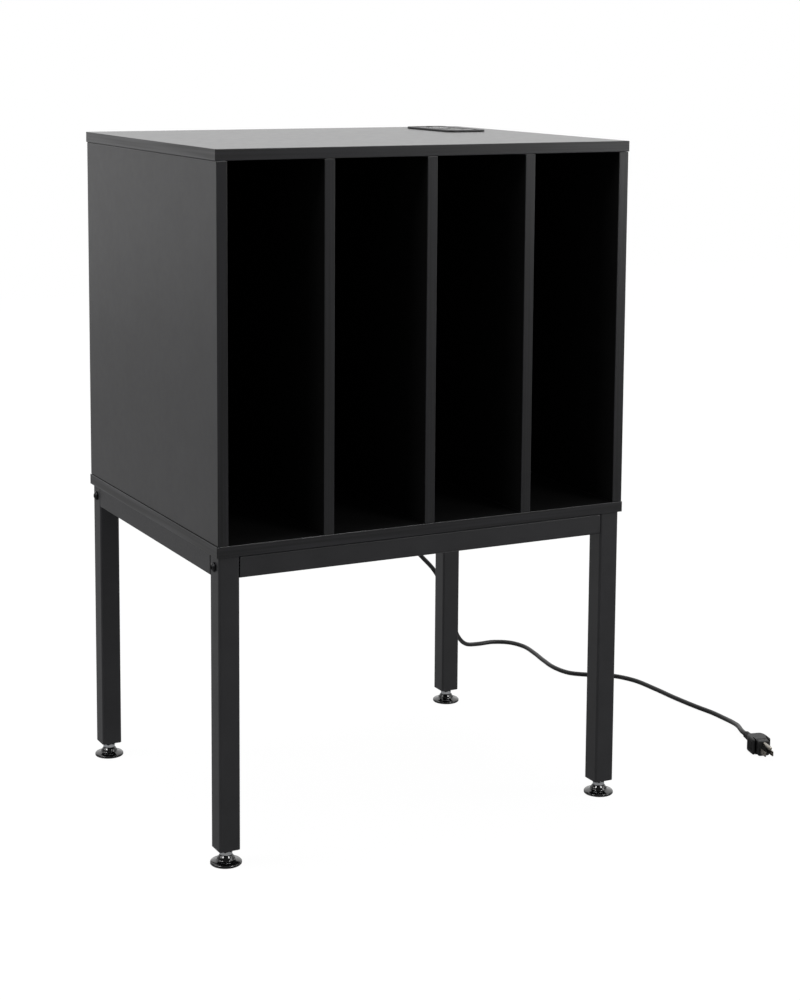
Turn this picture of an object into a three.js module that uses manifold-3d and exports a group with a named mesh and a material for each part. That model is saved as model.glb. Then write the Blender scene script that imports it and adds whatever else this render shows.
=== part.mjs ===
// Record player stand: a board cabinet with four record slots on a square-tube steel frame,
// with levelling feet, a power module let into the top and its mains cord.
// Millimetres, +Z up. The origin is on the floor, under the middle of the stand.
import * as THREE from 'three';
import { mergeVertices } from 'three/addons/utils/BufferGeometryUtils.js';
import Module from 'manifold-3d';

const wasm = await Module();
wasm.setup();

// Clearances
const fitGap = 0.3;
const boardSeam = 0.3;
const weldSeam = 0.3;
const cutOverrun = 1;

// Cabinet
const cabinetWidth = 500;
const cabinetDepth = 404;
const sidePanelHeight = 400;
const boardThickness = 12;
const slotCount = 4;
const sidePanelInset = 1.2;
const backThickness = 3;
const backSetback = 8;
const grooveDepth = 4;

// Steel frame
const tubeSize = 24;
const tubeWall = 1.2;
const tubeCornerRadius = 2.5;
const legLength = 320;
const legSideInset = 3;
const legFrontInset = 3;

// Bolts through the legs into the front and rear rails
const boltDiameter = 6;
const boltHeadDiameter = 10.5;
const boltHeadHeight = 3;
const boltHeadShares = [[0, 0], [1, 0], [1, 0.25], [0.83, 0.72], [0.61, 1], [0, 1]];
const boltSocketWidth = 4;
const boltSocketDepth = 1.8;
const boltTipReach = 2;
const endPlateThickness = 6;

// Screws that hold the cabinet to the side rails
const screwDiameter = 4;
const screwHeadDiameter = 8;
const screwHeadHeight = 2.6;
const screwHeadShares = [[0, -1], [0.77, -1], [1, -0.5], [1, 0], [0, 0]];
const screwRecessWidth = 4.5;
const screwRecessDepth = 1.4;
const screwBite = 9;
const screwSpacing = 220;

// Levelling feet
const padDiameter = 34;
const padRimHeight = 2.6;
const padRimShares = [[0, 0], [0.96, 0], [1, 0.25], [1, 0.6], [0.92, 1]];
const padHubDiameter = 15;
const padHubHeight = 9;
const padHubShares = [[1.35, 0.51], [1, 0.64], [1, 0.88], [0.9, 1], [0, 1]];
const padSocketDepth = 5;
const studDiameter = 8;
const studThreadLength = 22;
const nutWidth = 13;
const nutHeight = 5;
const footRetraction = 2;
const nutHeadroom = 0.7;
const legPlugDepth = 14;

// Power module
const moduleWidth = 52;
const moduleLength = 116;
const moduleRearInset = 38;
const flangeHeight = 2.6;
const flangeBevel = 0.9;
const flangeCornerRadius = 8;
const flangeLap = 4;
const housingWall = 2;
const housingDepth = 36;
const facePlateRecess = 0.6;
const facePlateThickness = 2.4;
const ledgeWidth = 1.6;
const ledgeThickness = 2;
const coverThickness = 2;

// Outlets, by the standard spacing of a grounded socket
const outletPitch = 34;
const firstOutletInset = 20;
const bladeSpacing = 12.7;
const bladeSlotWidth = 2.2;
const bladeSlotLength = 8.5;
const groundOffset = 11.9;
const groundHoleDiameter = 5.4;
const contactThickness = 0.8;
const contactLeafHeight = 8;
const contactLeafLength = 6;
const contactBaseWidth = 4;
const contactOverhang = 6;
const contactDrop = 7;
const coverRibWidth = 3;

// Charging insert and power button
const chargerWidth = 34;
const chargerLength = 12;
const chargerDepth = 12;
const chargerGap = 3;
const portWidth = 12.6;
const portHeight = 5.4;
const portDepth = 9;
const portTongueThickness = 1.8;
const portSpacing = 16.4;
const chargerBoardThickness = 1.6;
const chargerBoardWidth = 30;
const chargerBoardLength = 18;
const buttonDiameter = 9;
const buttonProud = 1.2;
const buttonEdgeShare = 0.6;
const buttonFaceShare = 0.85;
const buttonFlangeWidth = 1;
const buttonFlangeHeight = 1.2;
const buttonStemLength = 3;
const buttonTravel = 1.5;
const buttonRearInset = 9;
const switchSize = 12;
const switchHeight = 10;

// Spring clips that hold the module under the top
const clipThickness = 1;
const clipSpread = 6;
const clipWidth = 16;
const clipWallHeight = 14;

// Mains lead, its gland and its plug
const cordDiameter = 6;
const leadDrop = 24;
const leadBossDiameter = 11;
const leadBossLength = 4;
const glandNeckDiameter = 11;
const glandFlangeDiameter = 17;
const glandFlangeThickness = 2.5;
const glandNoseLength = 24;
const glandNoseRootDiameter = 11;
const glandNoseTipDiameter = 8.4;
const plugHeight = 20;
const plugBodyLength = 24;
const plugBodyWidth = 25;
const plugSideShares = [[0.42, 0], [0.82, 0.13], [1, 0.34], [0.98, 1]];
const plugNoseWidth = 15;
const plugNoseLength = 7;
const plugGripSlot = 1.8;
const plugGripSlotLength = 8;
const plugNeckLength = 22;
const plugNeckRootDiameter = 12;
const plugNeckTipDiameter = 9;
const plugBladeLength = 16;
const plugBladeHeight = 6.3;
const plugBladeThickness = 1.5;
const plugPinDiameter = 4.8;
const plugPinLength = 19;
const plugPinOffset = 6;
const plugPocketDepth = 4;
const plugAxisHeight = 10.4;
const plugX = 490;
const plugY = -146;
const plugHeading = 0.22;

// Round pieces: how many flats stand for a circle
const fineSides = 28;
const coarseSides = 16;
const cordSides = 10;
const cordSteps = 80;
const cornerSteps = 3;

// Places that follow from the sizes above
const footHeight = padHubHeight + fitGap + nutHeight + footRetraction + nutHeadroom;
const legTop = footHeight + legLength;
const bottomPanelBase = legTop + boardSeam;
const sidePanelBase = bottomPanelBase + boardThickness + boardSeam;
const topPanelBase = sidePanelBase + sidePanelHeight + boardSeam;
const topSurface = topPanelBase + boardThickness;
const sidePanelX = cabinetWidth / 2 - sidePanelInset - boardThickness / 2;
const innerWidth = 2 * sidePanelX - boardThickness;
const slotWidth = (innerWidth - (slotCount - 1) * boardThickness) / slotCount;
const slotPitch = slotWidth + boardThickness;
const grooveWidth = backThickness + 2 * fitGap;
const grooveY = cabinetDepth / 2 - backSetback - grooveWidth / 2;
const legX = cabinetWidth / 2 - legSideInset - tubeSize / 2;
const legY = cabinetDepth / 2 - legFrontInset - tubeSize / 2;
const boltZ = legTop - tubeSize / 2;
const tubeInner = tubeSize - 2 * tubeWall;
const tubeInnerRadius = Math.max(tubeCornerRadius - tubeWall, tubeCornerRadius / 2);
const railCentreZ = legTop - tubeSize / 2;
const moduleX = innerWidth / 2 - slotWidth / 2;
const moduleY = cabinetDepth / 2 - moduleRearInset - moduleLength / 2;
const cutoutWidth = moduleWidth - 2 * flangeLap;
const cutoutLength = moduleLength - 2 * flangeLap;
const cutoutRadius = flangeCornerRadius / 2;
const housingWidth = cutoutWidth - 2 * fitGap;
const housingLength = cutoutLength - 2 * fitGap;
const faceOpeningWidth = housingWidth - 2 * housingWall;
const faceOpeningLength = housingLength - 2 * housingWall;
const faceWidth = faceOpeningWidth - 2 * fitGap;
const faceLength = faceOpeningLength - 2 * fitGap;
const faceTop = topSurface + flangeHeight - facePlateRecess;
const faceBase = faceTop - facePlateThickness;
const coverBase = topSurface - housingDepth;
const coverTop = coverBase + coverThickness;
const firstOutletY = -faceLength / 2 + firstOutletInset;
const lastOutletY = firstOutletY + outletPitch;
const chargerY = lastOutletY + bladeSlotLength / 2 + chargerGap + chargerLength / 2;
const buttonY = faceLength / 2 - buttonRearInset;
const leadZ = topSurface - leadDrop;
const plugPlace = new THREE.Vector3(plugX, plugY, plugAxisHeight);

const corners = [
  { name: 'front_left', x: -1, y: -1 },
  { name: 'front_right', x: 1, y: -1 },
  { name: 'rear_left', x: -1, y: 1 },
  { name: 'rear_right', x: 1, y: 1 },
];

function finish(color, roughness, metalness) {
  return new THREE.MeshStandardMaterial({ color, roughness, metalness });
}

const finishes = {
  board: () => finish('#2b2b2d', 0.55, 0),
  backBoard: () => finish('#1c1c1d', 0.7, 0),
  frameSteel: () => finish('#2a2a2c', 0.5, 0.1),
  boltSteel: () => finish('#141415', 0.35, 0.6),
  zincSteel: () => finish('#b9bcc0', 0.3, 1),
  padPlastic: () => finish('#0c0c0d', 0.2, 0),
  housingPlastic: () => finish('#1a1a1c', 0.4, 0),
  facePlastic: () => finish('#232326', 0.35, 0),
  springSteel: () => finish('#8d9096', 0.35, 1),
  brass: () => finish('#b08d4a', 0.35, 1),
  circuitBoard: () => finish('#1f5a34', 0.5, 0),
  cordVinyl: () => finish('#121213', 0.5, 0),
  plugVinyl: () => finish('#19191a', 0.55, 0),
  plugMetal: () => finish('#a9a79f', 0.3, 1),
};

const stand = new THREE.Group();

function addPiece(name, geometry, material, x = 0, y = 0, z = 0, parent = stand) {
  const mesh = new THREE.Mesh(geometry, material);
  mesh.name = name;
  mesh.position.set(x, y, z);
  parent.add(mesh);
  return mesh;
}

// Booleans

function weldedGeometry(geometry) {
  const bare = geometry.clone();
  for (const attribute of Object.keys(bare.attributes)) {
    if (attribute !== 'position') bare.deleteAttribute(attribute);
  }
  const merged = mergeVertices(bare);
  const source = merged.getIndex().array;
  const kept = [];
  for (let i = 0; i < source.length; i += 3) {
    const [a, b, c] = [source[i], source[i + 1], source[i + 2]];
    if (a !== b && b !== c && a !== c) kept.push(a, b, c);
  }
  merged.setIndex(kept);
  return merged;
}

function solidOf(geometry) {
  const welded = weldedGeometry(geometry);
  return new wasm.Manifold(new wasm.Mesh({
    numProp: 3,
    vertProperties: new Float32Array(welded.getAttribute('position').array),
    triVerts: new Uint32Array(welded.getIndex().array),
  }));
}

function geometryOf(solid) {
  const mesh = solid.getMesh();
  const geometry = new THREE.BufferGeometry();
  geometry.setAttribute('position', new THREE.BufferAttribute(new Float32Array(mesh.vertProperties), 3));
  geometry.setIndex(new THREE.BufferAttribute(new Uint32Array(mesh.triVerts), 1));
  geometry.computeVertexNormals();
  return geometry;
}

function cut(geometry, tools) {
  return geometryOf(tools.reduce((solid, tool) => solid.subtract(solidOf(tool)), solidOf(geometry)));
}

function join(geometries) {
  const [first, ...others] = geometries.map(solidOf);
  return geometryOf(others.reduce((solid, other) => solid.add(other), first));
}

// Plain forms, each made where the argument names say

function block(x0, x1, y0, y1, z0, z1) {
  const geometry = new THREE.BoxGeometry(x1 - x0, y1 - y0, z1 - z0);
  return geometry.translate((x0 + x1) / 2, (y0 + y1) / 2, (z0 + z1) / 2);
}

function centredBlock(sizeX, sizeY, z0, z1, x = 0, y = 0) {
  return block(x - sizeX / 2, x + sizeX / 2, y - sizeY / 2, y + sizeY / 2, z0, z1);
}

function roundedRectangle(width, length, radius) {
  const x = width / 2 - radius;
  const y = length / 2 - radius;
  const outline = new THREE.Shape();
  outline.absarc(x, y, radius, 0, Math.PI / 2, false);
  outline.absarc(-x, y, radius, Math.PI / 2, Math.PI, false);
  outline.absarc(-x, -y, radius, Math.PI, 1.5 * Math.PI, false);
  outline.absarc(x, -y, radius, 1.5 * Math.PI, 2 * Math.PI, false);
  return outline;
}

function prism(outline, z0, z1) {
  const options = { depth: z1 - z0, bevelEnabled: false, curveSegments: cornerSteps };
  return new THREE.ExtrudeGeometry(outline, options).translate(0, 0, z0);
}

function roundedBlock(width, length, radius, z0, z1) {
  return prism(roundedRectangle(width, length, radius), z0, z1);
}

function rod(diameter, z0, z1, sides = coarseSides, tipDiameter = diameter) {
  const geometry = new THREE.CylinderGeometry(tipDiameter / 2, diameter / 2, z1 - z0, sides);
  return geometry.rotateX(Math.PI / 2).translate(0, 0, (z0 + z1) / 2);
}

function revolved(profile, sides = fineSides) {
  const points = profile.map(([radius, height]) => new THREE.Vector2(radius, height));
  return new THREE.LatheGeometry(points, sides).rotateX(Math.PI / 2);
}

function profileOf(shares, diameter, height) {
  return shares.map(([out, up]) => [out * diameter / 2, up * height]);
}

function hexagon(widthAcross, z0, z1) {
  return rod(widthAcross / Math.cos(Math.PI / 6), z0, z1, 6);
}

function turnedToX(geometry) {
  return geometry.rotateY(Math.PI / 2);
}

function turnedToY(geometry) {
  return geometry.rotateX(-Math.PI / 2);
}

// Cabinet

function backGrooveAcross(z0, z1) {
  const length = innerWidth + 2 * grooveDepth;
  return centredBlock(length, grooveWidth, z0, z1, 0, grooveY);
}

function makeTopPanel() {
  const board = centredBlock(cabinetWidth, cabinetDepth, 0, boardThickness);
  const groove = backGrooveAcross(-cutOverrun, grooveDepth);
  const cutout = roundedBlock(cutoutWidth, cutoutLength, cutoutRadius,
    -cutOverrun, boardThickness + cutOverrun).translate(moduleX, moduleY, 0);
  addPiece('top_panel', cut(board, [groove, cutout]), finishes.board(), 0, 0, topPanelBase);
}

function makeBottomPanel() {
  const board = centredBlock(cabinetWidth, cabinetDepth, 0, boardThickness);
  const tools = [backGrooveAcross(boardThickness - grooveDepth, boardThickness + cutOverrun)];
  for (const side of [-1, 1]) {
    for (const end of [-1, 1]) {
      const hole = rod(screwDiameter + 2 * fitGap, -cutOverrun, screwBite + fitGap);
      tools.push(hole.translate(side * legX, end * screwSpacing / 2, 0));
    }
  }
  addPiece('bottom_panel', cut(board, tools), finishes.board(), 0, 0, bottomPanelBase);
}

function makeSidePanels() {
  for (const [name, side] of [['left_side_panel', -1], ['right_side_panel', 1]]) {
    const board = centredBlock(boardThickness, cabinetDepth, 0, sidePanelHeight);
    const innerFace = -side * boardThickness / 2;
    const groove = centredBlock(2 * grooveDepth, grooveWidth,
      -cutOverrun, sidePanelHeight + cutOverrun, innerFace, grooveY);
    addPiece(name, cut(board, [groove]), finishes.board(), side * sidePanelX, 0, sidePanelBase);
  }
}

function makeDividers() {
  const rearFace = grooveY - backThickness / 2 - boardSeam;
  for (let i = 1; i < slotCount; i += 1) {
    const board = block(-boardThickness / 2, boardThickness / 2, -cabinetDepth / 2, rearFace,
      0, sidePanelHeight);
    const x = -innerWidth / 2 + i * slotPitch - boardThickness / 2;
    addPiece(`divider_${i}`, board, finishes.board(), x, 0, sidePanelBase);
  }
}

function makeBackPanel() {
  const reach = grooveDepth - fitGap;
  const board = centredBlock(innerWidth + 2 * reach, backThickness,
    sidePanelBase - boardSeam - reach, topPanelBase + reach, 0, grooveY);
  const hole = turnedToY(rod(glandNeckDiameter + 2 * fitGap, -backThickness, backThickness));
  hole.translate(moduleX, grooveY, leadZ);
  addPiece('back_panel', cut(board, [hole]), finishes.backBoard());
}

// Steel frame

function tube(length) {
  const outline = roundedRectangle(tubeSize, tubeSize, tubeCornerRadius);
  outline.holes.push(roundedRectangle(tubeInner, tubeInner, tubeInnerRadius));
  return prism(outline, 0, length);
}

function tubeFiller(z0, z1) {
  const size = tubeInner - 2 * fitGap;
  return roundedBlock(size, size, tubeInnerRadius, z0, z1);
}

function makeLegs() {
  for (const corner of corners) {
    const length = tubeSize + 2 * cutOverrun;
    const hole = turnedToX(rod(boltDiameter + 2 * fitGap, -length / 2, length / 2));
    hole.translate(0, 0, boltZ - footHeight);
    addPiece(`leg_${corner.name}`, cut(tube(legLength), [hole]), finishes.frameSteel(),
      corner.x * legX, corner.y * legY, footHeight);
  }
}

function makeCrossRails() {
  const length = 2 * legX - tubeSize - 2 * weldSeam;
  for (const [name, end] of [['front_rail', -1], ['rear_rail', 1]]) {
    const rail = turnedToX(tube(length).translate(0, 0, -length / 2));
    addPiece(name, rail, finishes.frameSteel(), 0, end * legY, railCentreZ);
  }
}

function makeSideRails() {
  const length = 2 * legY - tubeSize - 2 * weldSeam;
  for (const [name, side] of [['left_rail', -1], ['right_rail', 1]]) {
    const tools = [];
    for (const end of [-1, 1]) {
      const y = end * screwSpacing / 2;
      tools.push(rod(screwDiameter + 2 * fitGap, 0, tubeSize).translate(0, y, 0));
      tools.push(rod(screwHeadDiameter + 4 * fitGap, -tubeSize, 0).translate(0, y, 0));
    }
    const rail = turnedToY(tube(length).translate(0, 0, -length / 2));
    addPiece(name, cut(rail, tools), finishes.frameSteel(), side * legX, 0, railCentreZ);
  }
}

function makeEndPlates() {
  const inset = tubeSize / 2 + weldSeam + fitGap;
  for (const corner of corners) {
    const hole = rod(boltDiameter + 2 * fitGap, -cutOverrun, endPlateThickness + cutOverrun);
    const plate = turnedToX(cut(tubeFiller(0, endPlateThickness), [hole]));
    const x = corner.x * (legX - inset) - (corner.x > 0 ? endPlateThickness : 0);
    addPiece(`rail_end_plate_${corner.name}`, plate, finishes.zincSteel(), x, corner.y * legY, boltZ);
  }
}

function buttonHeadBolt() {
  const reach = tubeSize + weldSeam + fitGap + endPlateThickness + boltTipReach;
  const head = revolved(profileOf(boltHeadShares, boltHeadDiameter, boltHeadHeight), coarseSides);
  const shank = rod(boltDiameter, -reach, boltHeadHeight / 2);
  const socket = hexagon(boltSocketWidth, boltHeadHeight - boltSocketDepth, boltHeadHeight + cutOverrun);
  return cut(join([head, shank]), [socket]);
}

function makeLegBolts() {
  for (const corner of corners) {
    const bolt = turnedToX(buttonHeadBolt());
    if (corner.x < 0) bolt.rotateZ(Math.PI);
    const x = corner.x * (legX + tubeSize / 2 + fitGap);
    addPiece(`leg_bolt_${corner.name}`, bolt, finishes.boltSteel(), x, corner.y * legY, boltZ);
  }
}

function panHeadScrew() {
  const reach = fitGap + tubeWall + boardSeam + screwBite;
  const head = revolved(profileOf(screwHeadShares, screwHeadDiameter, screwHeadHeight), coarseSides);
  const shank = rod(screwDiameter, -screwHeadHeight / 2, reach);
  const recess = hexagon(screwRecessWidth * Math.cos(Math.PI / 6),
    -screwHeadHeight - cutOverrun, -screwHeadHeight + screwRecessDepth);
  return cut(join([head, shank]), [recess]);
}

function makeFrameScrews() {
  for (const corner of corners) {
    addPiece(`frame_screw_${corner.name}`, panHeadScrew(), finishes.zincSteel(),
      corner.x * legX, corner.y * screwSpacing / 2, legTop - tubeWall - fitGap);
  }
}

// Levelling feet

function legPlug() {
  const bore = rod(studDiameter + 2 * fitGap, -cutOverrun, legPlugDepth + cutOverrun);
  return cut(tubeFiller(0, legPlugDepth), [bore]);
}

function footStud() {
  const nutBase = padHubHeight + fitGap;
  const foot = padHubHeight - padSocketDepth + fitGap;
  const thread = rod(studDiameter, foot, footHeight + studThreadLength);
  return join([thread, hexagon(nutWidth, nutBase, nutBase + nutHeight)]);
}

function footPad() {
  const rim = profileOf(padRimShares, padDiameter, padRimHeight);
  const hub = profileOf(padHubShares, padHubDiameter, padHubHeight);
  const socket = rod(studDiameter + 2 * fitGap, padHubHeight - padSocketDepth, padHubHeight + cutOverrun);
  return cut(revolved([...rim, ...hub]), [socket]);
}

function makeFeet() {
  for (const corner of corners) {
    const x = corner.x * legX;
    const y = corner.y * legY;
    addPiece(`leg_plug_${corner.name}`, legPlug(), finishes.housingPlastic(), x, y, footHeight);
    addPiece(`foot_stud_${corner.name}`, footStud(), finishes.zincSteel(), x, y);
    addPiece(`foot_pad_${corner.name}`, footPad(), finishes.padPlastic(), x, y);
  }
}

// Power module, built about its own middle, with z measured on the stand

const powerModule = new THREE.Group();
powerModule.position.set(moduleX, moduleY, 0);
stand.add(powerModule);

function addModulePiece(name, geometry, material, x = 0, y = 0, z = 0) {
  addPiece(name, geometry, material, x, y, z, powerModule);
}

function moduleFlange() {
  const top = topSurface + flangeHeight;
  const outline = roundedRectangle(moduleWidth - 2 * flangeBevel, moduleLength - 2 * flangeBevel,
    flangeCornerRadius - flangeBevel);
  const base = topSurface + fitGap;
  const rise = top - base - flangeBevel;
  const bevelled = new THREE.ExtrudeGeometry(outline, {
    depth: rise, bevelEnabled: true, bevelThickness: flangeBevel, bevelSize: flangeBevel,
    bevelSegments: 1, curveSegments: cornerSteps,
  }).translate(0, 0, base);
  const below = centredBlock(2 * moduleWidth, 2 * moduleLength, base - 2 * flangeBevel, base);
  return cut(bevelled, [below]);
}

function makeHousing() {
  const wallBase = coverTop + fitGap;
  const ledgeTop = faceBase - fitGap;
  const walls = roundedBlock(housingWidth, housingLength, cutoutRadius,
    wallBase, topSurface + flangeHeight / 2);
  const innerRadius = cutoutRadius / 2;
  const upper = roundedBlock(faceOpeningWidth, faceOpeningLength, innerRadius,
    ledgeTop, topSurface + flangeHeight + cutOverrun);
  const throat = roundedBlock(faceOpeningWidth - 2 * ledgeWidth, faceOpeningLength - 2 * ledgeWidth,
    innerRadius, ledgeTop - ledgeThickness - cutOverrun, ledgeTop + cutOverrun);
  const lower = roundedBlock(faceOpeningWidth, faceOpeningLength, innerRadius,
    wallBase - cutOverrun, ledgeTop - ledgeThickness);
  const bossBase = housingLength / 2 - housingWall / 2;
  const boss = turnedToY(rod(leadBossDiameter, bossBase, housingLength / 2 + leadBossLength));
  boss.translate(0, 0, leadZ);
  const body = join([walls, moduleFlange(), boss]);
  addModulePiece('module_housing', cut(body, [upper, throat, lower]), finishes.housingPlastic());
}

function makeFacePlate() {
  const plate = roundedBlock(faceWidth, faceLength, cutoutRadius / 2, faceBase, faceTop);
  const z0 = faceBase - cutOverrun;
  const z1 = faceTop + cutOverrun;
  const tools = [centredBlock(chargerWidth + 2 * fitGap, chargerLength + 2 * fitGap, z0, z1, 0, chargerY)];
  for (const y of [firstOutletY, lastOutletY]) {
    for (const side of [-1, 1]) {
      tools.push(centredBlock(bladeSlotWidth, bladeSlotLength, z0, z1, side * bladeSpacing / 2, y));
    }
    tools.push(rod(groundHoleDiameter, z0, z1).translate(0, y - groundOffset, 0));
  }
  tools.push(rod(buttonDiameter + 2 * fitGap, z0, z1).translate(0, buttonY, 0));
  addModulePiece('module_face_plate', cut(plate, tools), finishes.facePlastic());
}

function makeCharger() {
  const top = faceTop;
  const insert = centredBlock(chargerWidth, chargerLength, top - chargerDepth, top, 0, chargerY);
  const tools = [];
  for (const side of [-1, 1]) {
    const x = side * portSpacing / 2;
    const tongueTop = portTongueThickness / 2;
    const gapHeight = (portHeight - portTongueThickness) / 2;
    for (const edge of [-1, 1]) {
      const y = chargerY + edge * (tongueTop + gapHeight / 2);
      tools.push(centredBlock(portWidth, gapHeight, top - portDepth, top + cutOverrun, x, y));
    }
    const mouth = top - portDepth / 6;
    tools.push(centredBlock(portWidth, portHeight, mouth, top + cutOverrun, x, chargerY));
  }
  addModulePiece('charger_insert', cut(insert, tools), finishes.housingPlastic());
  const boardTop = top - chargerDepth - fitGap;
  const board = centredBlock(chargerBoardWidth, chargerBoardLength, boardTop - chargerBoardThickness,
    boardTop, 0, chargerY);
  addModulePiece('charger_board', board, finishes.circuitBoard());
}

function makePowerButton() {
  const flangeTop = faceBase - fitGap;
  const flangeBase = flangeTop - buttonFlangeHeight;
  const crown = buttonDiameter / 2;
  const button = revolved([
    [0, flangeBase - buttonStemLength], [crown / 2, flangeBase - buttonStemLength],
    [crown / 2, flangeBase], [crown + buttonFlangeWidth, flangeBase],
    [crown + buttonFlangeWidth, flangeTop], [crown, flangeTop],
    [crown, faceTop + buttonEdgeShare * buttonProud],
    [buttonFaceShare * crown, faceTop + buttonProud], [0, faceTop + buttonProud],
  ], coarseSides);
  addModulePiece('power_button', button, finishes.facePlastic(), 0, buttonY);
  const switchTop = flangeBase - buttonStemLength - buttonTravel - fitGap;
  const body = centredBlock(switchSize, switchSize, switchTop - switchHeight, switchTop, 0, buttonY);
  addModulePiece('button_switch', body, finishes.housingPlastic());
  return switchTop - switchHeight;
}

// A contact strip runs under both outlets, with a pair of leaves at each
function contactStrip(leafGap) {
  const halfRun = outletPitch / 2 + contactOverhang;
  const parts = [centredBlock(Math.max(contactBaseWidth, leafGap + 2 * contactThickness), 2 * halfRun,
    -contactThickness, 0)];
  for (const end of [-1, 1]) {
    for (const side of [-1, 1]) {
      const x = side * (leafGap + contactThickness) / 2;
      parts.push(centredBlock(contactThickness, contactLeafLength, -contactThickness / 2,
        contactLeafHeight, x, end * outletPitch / 2));
    }
  }
  return join(parts);
}

function contactRows() {
  const middle = (firstOutletY + lastOutletY) / 2;
  return [
    { name: 'contact_strip_neutral', x: -bladeSpacing / 2, y: middle, gap: plugBladeThickness },
    { name: 'contact_strip_line', x: bladeSpacing / 2, y: middle, gap: plugBladeThickness },
    { name: 'contact_strip_ground', x: 0, y: middle - groundOffset, gap: plugPinDiameter },
  ];
}

function makeContactsAndCover(switchBase) {
  const stripTop = faceBase - contactDrop - contactLeafHeight;
  const plate = roundedBlock(housingWidth, housingLength, cutoutRadius, coverBase, coverTop);
  const parts = [plate];
  for (const row of contactRows()) {
    addModulePiece(row.name, contactStrip(row.gap), finishes.brass(), row.x, row.y, stripTop);
    const ribTop = stripTop - contactThickness - fitGap;
    parts.push(centredBlock(coverRibWidth, outletPitch, coverTop - coverThickness / 2, ribTop,
      row.x, row.y));
  }
  const pillarTop = switchBase - fitGap;
  const pillarBase = coverTop - coverThickness / 2;
  parts.push(centredBlock(switchSize, coverRibWidth, pillarBase, pillarTop, 0, buttonY));
  addModulePiece('module_cover', join(parts), finishes.housingPlastic());
}

function makeClips() {
  const top = topPanelBase - fitGap;
  const bend = top - boardThickness - clipSpread / 2;
  const outline = new THREE.Shape();
  outline.moveTo(0, bend + clipWallHeight);
  outline.lineTo(0, bend);
  outline.lineTo(2 * clipThickness, bend);
  outline.lineTo(clipSpread + clipThickness, top);
  outline.lineTo(clipSpread, top);
  outline.lineTo(clipThickness, bend + clipThickness);
  outline.lineTo(clipThickness, bend + clipWallHeight);
  outline.closePath();
  for (const [name, side] of [['module_clip_left', -1], ['module_clip_right', 1]]) {
    const clip = prism(outline, -clipWidth / 2, clipWidth / 2).rotateX(Math.PI / 2);
    if (side < 0) clip.rotateZ(Math.PI);
    addModulePiece(name, clip, finishes.springSteel(), side * (housingWidth / 2 + fitGap));
  }
}

function makePowerModule() {
  makeHousing();
  makeFacePlate();
  makeCharger();
  const switchBase = makePowerButton();
  makeContactsAndCover(switchBase);
  makeClips();
}

// Mains lead

function makeInnerLead(glandInnerY) {
  const startY = moduleY + housingLength / 2 + leadBossLength + fitGap;
  const lead = turnedToY(rod(cordDiameter, startY, glandInnerY - fitGap, cordSides));
  addPiece('inner_lead', lead, finishes.cordVinyl(), moduleX, 0, leadZ);
}

function makeGland(innerY, outerY) {
  const hole = backThickness + 2 * fitGap;
  const profile = [
    [0, 0], [glandFlangeDiameter / 2, 0], [glandFlangeDiameter / 2, glandFlangeThickness],
    [glandNeckDiameter / 2, glandFlangeThickness], [glandNeckDiameter / 2, glandFlangeThickness + hole],
    [glandFlangeDiameter / 2, glandFlangeThickness + hole],
    [glandFlangeDiameter / 2, 2 * glandFlangeThickness + hole],
    [glandNoseRootDiameter / 2, 2 * glandFlangeThickness + hole],
    [glandNoseTipDiameter / 2, outerY - innerY], [0, outerY - innerY],
  ];
  addPiece('cord_gland', turnedToY(revolved(profile, coarseSides)), finishes.cordVinyl(),
    moduleX, innerY, leadZ);
}

function cordRoute(start, end) {
  const route = [
    [182, 240, 737.6], [182, 260, 731], [182, 276, 714], [181, 282, 690], [177, 284, 640],
    [171, 285, 560], [166, 286, 470], [166, 287, 380], [176, 289, 300], [198, 292, 240],
    [226, 296, 200], [256, 302, 169], [283, 309, 141], [306, 321, 103], [328, 338, 56],
    [346, 355, 28], [368, 371, 10], [393, 382, 3.6], [419, 382, 3.2], [439, 369, 3.2],
    [448, 343, 3.2], [445, 308, 3.2], [439, 274, 3.2], [435, 238, 3.2], [441, 208, 3.2],
    [462, 188, 3.2], [487, 171, 3.2], [503, 141, 3.2], [508, 98, 3.2], [510, 56, 3.2],
    [514, 14, 3.2], [519, -20, 3.2], [519, -46, 3.7], [516, -67, 5.4], [509.5, -87, 8],
  ];
  return [start, ...route.map(([x, y, z]) => new THREE.Vector3(x, y, z)), ...end];
}

function makePowerCord(outerY) {
  const start = new THREE.Vector3(moduleX, outerY + fitGap, leadZ);
  const ahead = new THREE.Vector3(-Math.sin(plugHeading), -Math.cos(plugHeading), 0);
  const tail = plugPlace.clone().addScaledVector(ahead, -plugNeckLength - fitGap);
  const beforeTail = tail.clone().addScaledVector(ahead, -2 * cordDiameter);
  const curve = new THREE.CatmullRomCurve3(cordRoute(start, [beforeTail, tail]), false, 'centripetal');
  const section = new THREE.Shape();
  for (let i = 0; i < cordSides; i += 1) {
    const angle = 2 * Math.PI * i / cordSides;
    const [x, y] = [Math.cos(angle) * cordDiameter / 2, Math.sin(angle) * cordDiameter / 2];
    if (i === 0) section.moveTo(x, y);
    else section.lineTo(x, y);
  }
  section.closePath();
  const cord = new THREE.ExtrudeGeometry(section, { steps: cordSteps, extrudePath: curve });
  addPiece('power_cord', weldedGeometry(cord), finishes.cordVinyl());
}

function makeLeadAndCord() {
  const wallRun = backThickness + 2 * fitGap;
  const glandInnerY = grooveY - wallRun / 2 - glandFlangeThickness;
  const glandOuterY = glandInnerY + 2 * glandFlangeThickness + wallRun + glandNoseLength;
  makeInnerLead(glandInnerY);
  makeGland(glandInnerY, glandOuterY);
  makePowerCord(glandOuterY);
}

// Plug, built pointing along -Y from the root of its neck and turned to lie along the cord's end

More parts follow.
